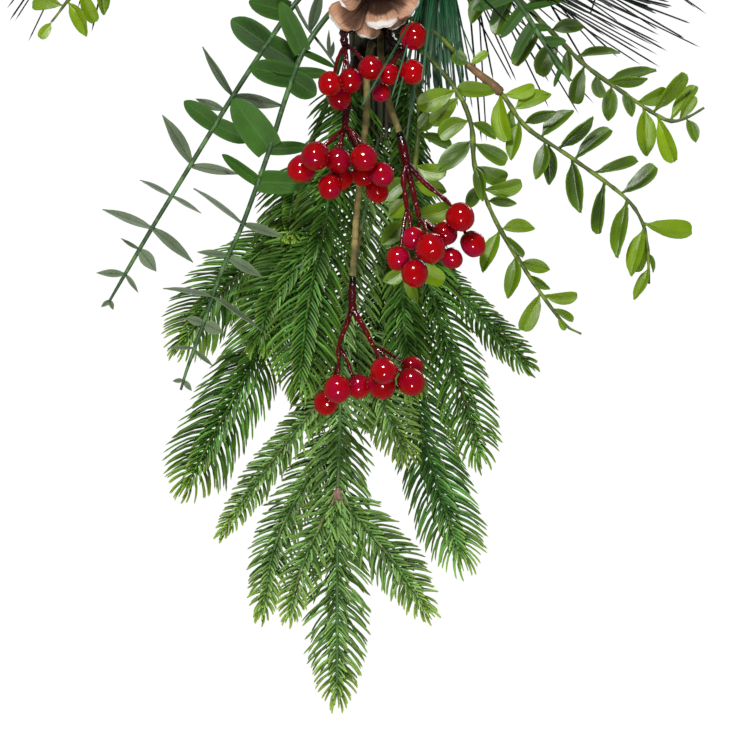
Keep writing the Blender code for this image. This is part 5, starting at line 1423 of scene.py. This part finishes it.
# %% Berry sprays
# The first twig of a spray is the main one. A berry is (where its branchlet starts, its middle, its radius).
BERRY_SPRAYS = (
    {
        "name": "berry_spray_upper_left",
        "twigs": [
            [
                *leaving(-103, -112), (-10, -44, -104), (-15, -56, -104), (-15.5, -68, -109),
                (-15, -70, -113.5),
            ],
        ],
        "berries": [
            ((-14.8, -69.2, -113.4), (-22.3, -90, -132.7), 6.1),
            ((-14.9, -69.6, -113.4), (-12.3, -83, -130.9), 6.1),
            ((-14.7, -68.6, -113.3), (-17.8, -76, -139.4), 6.0),
            ((-14.5, -68, -113.2), (-1.9, -88, -124.9), 6.2),
        ],
    },
    {
        "name": "berry_spray_upper_right",
        "twigs": [[*leaving(-104, -70), (8, -46, -109.5), (11, -55, -113), (13, -67, -115)]],
        "berries": [
            ((12.5, -64, -114.5), (19.2, -84, -109.1), 6.8),
            ((12.8, -65.5, -114.8), (18.6, -82, -126.7), 6.3),
            ((12.8, -65.5, -114.8), (7.2, -81, -127.9), 5.3),
            ((12.5, -64, -114.5), (3.2, -77, -137), 4.7),
        ],
    },
    {
        "name": "berry_spray_left",
        "twigs": [[*leaving(-116, -125), (-11, -48, -124), (-13, -68, -136), (-15.5, -73, -156)]],
        "berries": [
            ((-15.3, -72.6, -154.5), (-29.5, -92, -168.8), 7.2),
            ((-15.4, -72.8, -155.2), (-36.5, -81, -174.9), 6.9),
            ((-15.3, -72.6, -154.5), (-18.3, -84, -170.9), 6.5),
            ((-15, -72, -152.5), (-5.6, -93, -169.7), 6.8),
            ((-15, -72, -152.5), (-5.9, -80.5, -178.2), 5.6),
            ((-15, -72, -152), (3.4, -88, -177.9), 6.0),
            ((-15.2, -72.4, -153.5), (1, -74.5, -185.5), 5.8),
            ((-15.4, -72.8, -155.2), (-17.2, -73.5, -178.8), 6.4),
            ((-15.4, -72.8, -155.2), (-22.2, -87, -184), 6.2),
        ],
    },
    {
        "name": "berry_spray_right",
        "twigs": [
            [(12.3, -70.8, -157.3), (14.5, -72.5, -166), (16.2, -74, -175)],
            [(15.4, -73.4, -172), (14.2, -76, -181), (16, -77, -195.5)],
            [(16, -74, -174), (19, -75.5, -186), (22.5, -77, -201)],
            [(16, -74, -172), (24, -74, -181), (36, -74, -191)],
        ],
        "berries": [
            ((35.4, -74, -190.6), (42.3, -90, -199), 7.2),
            ((35.4, -74, -190.6), (48.5, -80, -212), 6.2),
            ((22.3, -77, -200), (34.8, -83, -207.3), 6.0),
            ((22.3, -77, -200), (27.5, -98, -214.4), 7.5),
            ((16, -77, -195), (19.1, -86, -209.4), 5.8),
            ((16, -77, -195), (11.7, -86, -219.7), 6.1),
            ((22.3, -77, -200), (19.7, -94, -226.8), 6.7),
            ((22.3, -77, -200), (38.2, -79, -219.4), 5.2),
        ],
    },
    {
        "name": "berry_spray_low",
        "twigs": [
            [(-11.1, -66.2, -228.6), (-11.4, -66, -238), (-11.2, -66, -246)],
            [(-11.4, -66, -244), (-14, -66, -252), (-17.8, -66, -262), (-18.2, -66, -272)],
            [(-11, -66.2, -245), (-5.5, -68, -254), (-0.4, -70, -264)],
        ],
        "berries": [
            ((-18.4, -66, -272.4), (-18.6, -76, -284.5), 7.0),
            ((-18.4, -66, -272.4), (-24.2, -65, -291), 6.1),
            ((-17.8, -66, -264), (-8.3, -64, -283.1), 6.0),
            ((-0.4, -69.9, -263.4), (4.3, -84, -275.2), 6.6),
            ((-0.4, -69.9, -263.4), (3.1, -71.5, -281.9), 7.3),
            ((-0.4, -69.9, -263.4), (18, -76, -280.8), 6.9),
            ((-0.4, -69.9, -263.4), (18.5, -66, -273.3), 5.4),
        ],
    },
)
print(sum(len(spec["berries"]) for spec in BERRY_SPRAYS), "berries on", len(BERRY_SPRAYS), "sprays")

# %% Each spray on its knobby twigs
# A higher tint is darker lacquer
MAIN_TWIG = {"radii": ((0, 1.9), (0.6, 2.2), (1, 1.6)), "step": 1.6, "tint": 1.5, "knobs": 0.35}
SIDE_TWIG = {"radii": ((0, 1.3), (0.5, 1.25), (1, 1.0)), "step": 1.6, "tint": 0.5, "knobs": 0.35}
BRANCHLET = {"radii": ((0, 1.0), (1, 0.75)), "step": 1.6, "tint": 0.3, "knobs": 0.25}
SAG, SAG_ASIDE = 1.5, 1.2
# As shares of the radius: from a berry's middle to its foot, and from there to the end of the wire inside it
FOOT_AT, WIRE_IN = 1.04, 0.25
TALLER = (1.02, 1.1)
BERRY_SEED = 400


def make_spray(spec, number):
    """One spray of berries on its knobby twigs."""
    draw = random.Random(BERRY_SEED + number)
    name = spec["name"]
    parts, places = [], []
    for k, points in enumerate(spec["twigs"]):
        twig = stem(f"{name}_twig_{k}", Route(points), **(SIDE_TWIG if k else MAIN_TWIG), draw=draw)
        parts.append(coat(twig, TWIG_LACQUER))
    for k, (start, centre, radius) in enumerate(spec["berries"]):
        start, centre = Vector(start), Vector(centre)
        sag = Vector((draw.uniform(-SAG_ASIDE, SAG_ASIDE), 0, -SAG))
        way = (centre - start - sag * 2).normalized()
        foot = centre - way * radius * FOOT_AT
        route = Route([start, (start + foot) / 2 - sag, foot + way * radius * WIRE_IN])
        parts.append(coat(stem(f"{name}_branchlet_{k}", route, **BRANCHLET, draw=draw), TWIG_LACQUER))
        up = turned(FRONT, way, draw.uniform(0, 360))
        tall = radius * 2 * draw.uniform(*TALLER)
        places.append((foot, way, up, radius * 2, tall, 0.0, draw.random(), 0.0))
    balls = coat(copies(name + "_balls", BERRY, places), BERRY_LACQUER)
    hand_over(name + "_berries", [balls, *parts], name, angle=70)


for number, spec in enumerate(BERRY_SPRAYS):
    make_spray(spec, number)

# %% [markdown]
# ## Taped stems
#
# Two berry picks reach the lower sprays on wires wound in paper tape. Each lap of tape stands a little proud
# of the one before, so the radius of the tube rises along a lap and steps back at its end. The run mark also
# darkens the end of each lap, as painted shade at the step.

# %% Wound paper tape
def wound_tape(name, base, dark, lap, rough=0.8):
    """Crepe paper tape: fibres along the stem and painted shade at the step of each lap."""
    made, tree, shader = new_material(name, Roughness=rough, Specular_IOR_Level=0.3)
    run = add(tree, "Attribute", attribute_name="run").outputs["Fac"]
    place = add(tree, "TexCoord").outputs["Object"]
    cloud = add(tree, "TexNoise", {"Vector": place, "Scale": per_metre(6.0), "Detail": 5.0})
    crepe = add(tree, "TexNoise", {"Vector": place, "Scale": per_metre(0.7), "Detail": 3.0})
    # Painted shade: the end of each lap, at the step where the next begins, is darkened.
    laps = add(tree, "Math", {0: run, 1: lap}, operation="DIVIDE")
    within = add(tree, "Math", {0: laps}, operation="FRACT")
    edge = add(tree, "MapRange", {"Value": within, "From Min": 0.8, "From Max": 1.0, "To Max": 0.7})
    span = {"From Min": 0.35, "From Max": 0.65}
    blotch = add(tree, "MapRange", {"Value": cloud, **span})
    dusk = add(tree, "Math", {0: edge, 1: blotch}, operation="MAXIMUM")
    mix = add(tree, "Mix", {0: dusk, 6: linear(base), 7: linear(dark)}, data_type="RGBA")
    relief = add(tree, "Bump", {"Height": crepe, "Strength": 0.5, "Distance": 0.0005})
    dress(tree, shader, mix, relief)
    return made


# %% The two taped stems
PAPER_STEMS = {
    "berry_stem_right": [*leaving(-107, -86), (3, -54, -118), (6, -63, -138), (12.2, -70.5, -156.7)],
    "berry_stem_low": [
        *leaving(-112, -103), (-4, -54, -126), (-4.5, -64, -150), (-9, -66.5, -195), (-11, -66.3, -228),
    ],
}
PAPER_LAP = 5.0
PAPER_TAPE = wound_tape("olive_paper_tape", "7A6E3E", "4A4423", PAPER_LAP)
LAP_START, LAP_END, STEM_END = 1.55, 1.8, 1.6
STEP_AT = 0.92


def make_taped_stem(name, points):
    """A wire wound in tape, with a step at the end of each lap."""
    route = Route(points)
    laps = round(route.length / PAPER_LAP)
    radii = []
    for k in range(laps):
        radii += [(k / laps, LAP_START), ((k + STEP_AT) / laps, LAP_END)]
    tube = stem(name + "_tube", route, [*radii, (1.0, STEM_END)], sides=10, step=0.9)
    hand_over(name + "_taped", [coat(tube, PAPER_TAPE)], name, angle=50)


for name, points in PAPER_STEMS.items():
    make_taped_stem(name, points)

# %% [markdown]
# ## Trunk
#
# All stems are bound with dark floral tape. The tape winds down the bundle, so each lap stands proud of the
# one below it. A screw modifier turns one slanting edge into the whole winding, and a taper thins it towards
# the foot. Cut ends of the bound stems show at both ends, and thin stems run down round it.

# %% The wound trunk
TAPE_LAP, TAPE_PROUD, OVERLAP, STARTS_LOWER = 13.125, 0.8, 1.08, 0.02
# Near-black tape: partly its own dark brown, partly painted shade, as the trunk lies in shade deep in the
# swag.
SHADED_TRUNK_TAPE = wound_tape("dark_floral_tape_painted_shade", "1C150D", "0B0805", TAPE_LAP, 0.85)
slope = (TRUNK_TOP_RADIUS - TRUNK_FOOT_RADIUS) / (TRUNK_TOP - TRUNK_BOTTOM)
start_radius = TRUNK_TOP_RADIUS - slope * TRUNK_TOP - TAPE_PROUD

corner = vec((start_radius + TAPE_LAP * OVERLAP / 2, 0, TRUNK_TOP - TAPE_LAP * STARTS_LOWER))
tape = primitive(
    bpy.ops.mesh.primitive_plane_add, "trunk_tape", Matrix.Translation(corner),
    size=TAPE_LAP * OVERLAP * MM, rotation=(math.pi / 2, 0, 0),
)
bpy.ops.object.mode_set(mode="EDIT")
select_only(lambda co: co.x > corner.x)
bpy.ops.mesh.delete(type="VERT")
select_only(lambda co: co.z < corner.z)
bpy.ops.transform.translate(value=(TAPE_PROUD * MM, 0, 0))
bpy.ops.object.mode_set(mode="OBJECT")
winding = tape.modifiers.new("winding", "SCREW")
winding.screw_offset = -TAPE_LAP * MM
winding.iterations = 8
winding.steps = winding.render_steps = 32
bpy.ops.object.modifier_apply(modifier="winding")
taper = tape.modifiers.new("taper", "SIMPLE_DEFORM")
taper.deform_method = "TAPER"
taper.deform_axis = "Z"
taper.factor = slope * tape.dimensions.z / MM / start_radius
bpy.ops.object.modifier_apply(modifier="taper")
bpy.ops.object.mode_set(mode="EDIT")
for height, keep_above in ((TRUNK_TOP, False), (TRUNK_BOTTOM, True)):
    bpy.ops.mesh.select_all(action="SELECT")
    cut = {"plane_co": (0, 0, height * MM), "plane_no": (0, 0, 1)}
    bpy.ops.mesh.bisect(**cut, clear_inner=keep_above, clear_outer=not keep_above)
bpy.ops.mesh.select_all(action="SELECT")
bpy.ops.mesh.normals_make_consistent(inside=False)
bpy.ops.transform.translate(value=vec((TRUNK_X, TRUNK_Y, 0)))
bpy.ops.object.mode_set(mode="OBJECT")
mark(tape.data, "run", [-vert.co.z / MM for vert in tape.data.vertices])
coat(tape, SHADED_TRUNK_TAPE)

UNDER_TAPE = 1.2
middle = (TRUNK_TOP + TRUNK_BOTTOM) / 2
core = primitive(
    bpy.ops.mesh.primitive_cone_add, "trunk_core",
    vertices=32, radius1=(TRUNK_FOOT_RADIUS - UNDER_TAPE) * MM, radius2=(TRUNK_TOP_RADIUS - UNDER_TAPE) * MM,
    depth=(TRUNK_TOP - TRUNK_BOTTOM - 1) * MM, location=vec((TRUNK_X, TRUNK_Y, middle)),
)
coat(core, SHADED_TRUNK_TAPE)
print("the tape has", len(tape.data.vertices), "points, and the core", len(core.data.vertices))

# %% The bound stems and their cut ends
CUT_STEM = patchy_plastic("bound_stems", "33301C", "26301A", 4.0, 0.5, 0.75)
CUT_RADII, BOUND_RADII = ((0, 2.1), (1, 2.0)), ((0, 1.1), (1, 0.9))
CUT_ENDS, SUNK, CUT_PROUD, FIRST_CUT = 7, 6.0, (7, 10), 0.3
# The trunk's ends: height, how far out the cut stems stand, and which way they point
TRUNK_ENDS = ((TRUNK_TOP, 7.6, 1), (TRUNK_BOTTOM, 5.4, -1))
BOUND_STEMS, FIRST_BEARING, NEXT_BEARING, BEARING_BY = 31, -168, 13, 3
BOUND_TOP, BOUND_MIDDLE = -98, -128
TOP_BY, FOOT_BY, DEPTHS = 6, 14, (-0.5, 0.3)
# The stems in front lie on the tape. Those after them stand off it by some millimetres, less at each point.
IN_FRONT, STAND_OFF, LESS_OFF = 12, (1.0, 5.0), 0.8

draw = random.Random(7)
bound = []
for level, spread, lean in TRUNK_ENDS:
    for k in range(CUT_ENDS):
        angle = k * math.tau / CUT_ENDS + FIRST_CUT
        across = Vector((math.cos(angle), math.sin(angle), 0))
        foot = Vector((TRUNK_X, TRUNK_Y, level - lean * SUNK)) + across * spread
        tip = foot + Vector((0, 0, lean * draw.uniform(*CUT_PROUD)))
        bound.append(stem(f"cut_stem_{level:.0f}_{k}", Route([foot, tip]), CUT_RADII))
for k in range(BOUND_STEMS):
    angle = math.radians(FIRST_BEARING + NEXT_BEARING * k + draw.uniform(-BEARING_BY, BEARING_BY))
    out = Vector((math.cos(angle), math.sin(angle), 0))
    off = 0.0 if k < IN_FRONT else draw.uniform(*STAND_OFF) * abs(out.x)
    line = []
    for z in (BOUND_TOP - draw.uniform(0, TOP_BY), BOUND_MIDDLE, TRUNK_BOTTOM - draw.uniform(0, FOOT_BY)):
        line.append(Vector((TRUNK_X, TRUNK_Y, z)) + out * (trunk_radius(z) + off + draw.uniform(*DEPTHS)))
        off *= LESS_OFF
    bound.append(stem(f"bound_stem_{k}", Route(line), BOUND_RADII))
for part in bound:
    coat(part, CUT_STEM)
hand_over("bound_trunk", [tape, core, *bound], "trunk", angle=35)

# %% [markdown]
# ## Hanging wire
#
# One coated wire makes the whole hanger. It goes round the trunk under the tape, its ends are twisted up the
# back as a neck, and they part in the loop that the hook takes. A torus gives the loop and the collar, and
# two stems wound round one line give the neck.

# %% The loop, its twisted neck and its collar
WIRE_RADIUS, LOOP_RADIUS, COLLAR_Z, OVER_TAPE = 1.1, 11.0, -62.5, 0.9
NECK_TURNS, NECK_STEPS, STRAND_RADIUS, STRAND_OFF = 5.0, 60, 1.0, 0.95
WIRE = patchy_plastic("green_wire_enamel", "2B4630", "223A28", 8.0, 0.5, 0.35)
loop_z = -(LOOP_RADIUS - WIRE_RADIUS)
collar_radius = trunk_radius(COLLAR_Z) + OVER_TAPE


def ring(name, radius, **settings):
    """One ring of the wire."""
    return primitive(
        bpy.ops.mesh.primitive_torus_add, name, major_radius=radius * MM, minor_radius=WIRE_RADIUS * MM,
        major_segments=64, minor_segments=14, **settings,
    )


wires = [ring("loop", LOOP_RADIUS, location=vec((0, 0, loop_z)), rotation=(math.pi / 2, 0, 0))]
for lift in (-WIRE_RADIUS, WIRE_RADIUS):
    wires.append(ring("collar", collar_radius, location=vec((TRUNK_X, TRUNK_Y, COLLAR_Z + lift))))
back = TRUNK_Y + collar_radius
neck = Route([
    (TRUNK_X, back + 0.6, COLLAR_Z), (TRUNK_X, back + 2.2, COLLAR_Z + 8), (0, -1, loop_z - LOOP_RADIUS - 8),
    (0, 0, loop_z - LOOP_RADIUS),
])
for start in (0, math.pi):
    wound = []
    for k in range(NECK_STEPS + 1):
        angle = start + NECK_TURNS * math.tau * k / NECK_STEPS
        shift = Vector((math.cos(angle), math.sin(angle), 0)) * STRAND_OFF
        wound.append(neck.at(neck.length * k / NECK_STEPS) + shift)
    radii = ((0, STRAND_RADIUS), (1, STRAND_RADIUS))
    wires.append(stem("neck_strand", Route(wound, fine=3), radii, sides=10, step=0.8))
hand_over("wire_hanger", [coat(wire, WIRE) for wire in wires], "hanging_loop")

# %% [markdown]
# ## Pine cone
#
# The cone is a real one, dried open and dusted with white. It points at the viewer, so it shows a rosette of
# broad fans, tan inside, with dark spaces between them, where shade is also painted on the foot of each
# scale.
# Each scale is a sheet thickened to 1.3 mm. They stand in seven staggered rings: wide open at the base, and
# more closed and smaller towards the tip. Of its lower side, which the photo shows, the seven scales in view
# are given one by one.

# %% A cone scale, modelled once, and its dusted wood
SCALE_WIDTH, SCALE_LENGTH = 14.0, 18.0
SCALE_OUTLINE = (
    (0.0, 0.34), (0.16, 0.42), (0.34, 0.58), (0.5, 0.76), (0.66, 0.93), (0.79, 1.0), (0.9, 0.9),
    (0.97, 0.66), (1.0, 0.4),
)
SCALE = model_sheet("cone_scale", SCALE_WIDTH, SCALE_LENGTH, SCALE_OUTLINE, -0.3, 0.9, 1.3)


def dusted_wood(name):
    """Dry cone scale: tan with fine grain out from its foot, painted shade at the foot, dusted white along
    the rim.
    """
    made, tree, shader = new_material(name, Roughness=0.75, Specular_IOR_Level=0.35)
    tint = add(tree, "Attribute", attribute_name="tint").outputs["Fac"]
    place = add(tree, "TexCoord")
    flat = add(tree, "SeparateXYZ", {"Vector": place.outputs["UV"]})
    long_grain = add(tree, "Mapping", {"Vector": place.outputs["UV"], "Scale": (22.0, 2.0, 1.0)})
    wavy = {"Scale": 1.0, "Detail": 5.0, "Distortion": 0.8}
    grain = add(tree, "TexNoise", {"Vector": long_grain, **wavy})
    body = add(tree, "ValToRGB", {"Fac": grain})
    body.color_ramp.elements[0].position = 0.25
    body.color_ramp.elements[0].color = linear("845A44")
    body.color_ramp.elements[1].position = 0.75
    body.color_ramp.elements[1].color = linear("C2987A")
    # Painted shade: each scale is darkened towards its foot, deep between its neighbours.
    span = {"From Min": 0.18, "From Max": 0.66, "To Min": 0.92, "To Max": 0.0}
    deep = add(tree, "MapRange", {"Value": flat.outputs["Y"], **span})
    painted_foot_shade = add(tree, "Mix", {0: deep, 6: body, 7: linear("2E1409")}, data_type="RGBA")
    speck = add(tree, "TexNoise", {"Vector": place.outputs["Object"], "Scale": per_metre(4.0), "Detail": 4.0})
    reach = add(tree, "Math", {0: speck, 1: 0.34, 2: flat.outputs["Y"]}, operation="MULTIPLY_ADD")
    more = add(tree, "Math", {0: tint, 1: 0.32, 2: reach}, operation="MULTIPLY_ADD")
    edge = {"From Min": 1.08, "From Max": 1.2}
    dust = add(tree, "MapRange", {"Value": more, **edge}, interpolation_type="SMOOTHSTEP")
    span = {"From Min": 0.9, "From Max": 1.0, "To Max": 0.7}
    rim = add(tree, "MapRange", {"Value": flat.outputs["Y"], **span})
    worn = add(tree, "Mix", {0: rim, 6: painted_foot_shade.outputs[2], 7: linear("C4A896")}, data_type="RGBA")
    mix = add(tree, "Mix", {0: dust, 6: worn.outputs[2], 7: linear("C4BEB8")}, data_type="RGBA")
    both = add(tree, "Math", {0: grain, 1: dust}, operation="ADD")
    relief = add(tree, "Bump", {"Height": both, "Strength": 0.7, "Distance": 0.0006})
    dress(tree, shader, mix, relief)
    return made


CONE_WOOD = dusted_wood("dusted_cone_wood")
CONE_CORE = patchy_plastic("cone_core_wood", "3A1E10", "24120A", 5.0, 0.5, 0.8)

# %% The cone's axis and core
CONE_BASE, CONE_AXIS = Vector((0.5, -47, -84)), Vector((0.0, -1.0, 0.05)).normalized()
CONE_TALL, CONE_WIDE, CONE_ROWS, CONE_PER_ROW = 46.0, 41.0, 7, 5
CORE_STEPS = (0, 0.25, 0.5, 0.75, 1)
CORE_WIDE, CORE_THINNER, THINNER_POWER, CORE_LEAST = 0.17, 0.78, 1.6, 1.2
AXIS_START, AXIS_RUN = 0.02, 0.88


def core_radius(share):
    """The core is a fat spindle, thinner towards the tip."""
    return CONE_WIDE * CORE_WIDE * (1 - CORE_THINNER * share**THINNER_POWER) + CORE_LEAST


def on_axis(share):
    """A place on the core, by the share of its length."""
    return CONE_BASE + CONE_AXIS * CONE_TALL * (AXIS_START + AXIS_RUN * share)


core_line = Route([on_axis(share) for share in CORE_STEPS])
core = stem("cone_core", core_line, [(share, core_radius(share)) for share in CORE_STEPS], sides=12, step=4.0)
stalk_line = Route([leaving(-84, -90)[0], CONE_BASE + CONE_AXIS * 2])
stalk = stem("cone_stalk", stalk_line, ((0, 1.8), (1, 2.6)), sides=10)
print("the core is", round(core_line.length, 1), "mm long")

# %% The cone's scales
# The scales in view: root, tip, width and how far the dust covers them
SEEN_SCALES = (
    ((-3, -56, -89), (-21.5, -70, -103), 16.5, 0.1), ((-4, -64, -84), (-19.5, -82, -92), 15.5, 0.35),
    ((-4, -60, -92), (-12, -68, -106), 6.5, 0.1), ((-1, -57, -92), (-4.5, -66, -110.5), 12.5, 0.35),
    ((1, -66, -87), (4.5, -86, -107), 16.5, 0.9), ((4, -56, -91), (13, -62, -104), 12, 0.2),
    ((5, -60, -86), (21, -75, -97), 16.5, 0.1),
)

# Degrees that a scale stands open at the base, how many fewer at the tip, and how that falls
OPEN_AT_BASE, CLOSED_BY, CLOSING_POWER = 98, 88, 0.85
# Lengths and widths, as shares of the cone's width, and how they fall towards the tip
SCALE_MOST, SCALE_LEAST, SHORTER_POWER = 0.36, 0.12, 2.2
SCALE_WIDE, NARROWER = 0.36, 0.6
ROOT_DEPTH, CUPPED, SEEN_CUPPED, MOST_DUST = 0.8, 0.1, 0.12, 0.5
FIRST_COLUMN, COLUMN_BY = 0.25, 0.05
# Below this height on the cone, rows up to the last of these give way to the scales in view. The first stays.
LOWER_SIDE, LOWER_ROWS, FIRST_SHORTER = -0.25, 5, 0.72

draw = random.Random(11)
places = []
for root, tip, wide, dusted in SEEN_SCALES:
    way = Vector(tip) - Vector(root)
    places.append((Vector(root), way, CONE_AXIS, wide, way.length, SEEN_CUPPED, dusted, 0.0))
across = CONE_AXIS.cross(Vector((0, 0, 1))).normalized()
upward = across.cross(CONE_AXIS)
for row in range(CONE_ROWS):
    share = (row + 0.5) / CONE_ROWS
    tilt = math.radians(OPEN_AT_BASE - CLOSED_BY * share**CLOSING_POWER)
    for column in range(CONE_PER_ROW):
        turn = column + row / 2 + FIRST_COLUMN + draw.uniform(-COLUMN_BY, COLUMN_BY)
        angle = math.tau * turn / CONE_PER_ROW
        out = across * math.cos(angle) + upward * math.sin(angle)
        root = on_axis(share) + out * core_radius(share) * ROOT_DEPTH
        way = out * math.sin(tilt) + CONE_AXIS * math.cos(tilt)
        up = CONE_AXIS * math.sin(tilt) - out * math.cos(tilt)
        long = CONE_WIDE * (SCALE_MOST * (1 - share**SHORTER_POWER) + SCALE_LEAST)
        long += core_radius(share) * (1 - ROOT_DEPTH)
        wide = CONE_WIDE * SCALE_WIDE * (1 - NARROWER * share**2)
        if out.z < LOWER_SIDE and row < LOWER_ROWS:
            if row:
                continue
            long *= FIRST_SHORTER
        places.append((root, way, up, wide, long, CUPPED, MOST_DUST * draw.random(), share))
scales = coat(copies("cone_scales", SCALE, places), CONE_WOOD)
hand_over("open_cone", [scales, coat(core, CONE_CORE), coat(stalk, CONE_CORE)], "pine_cone")
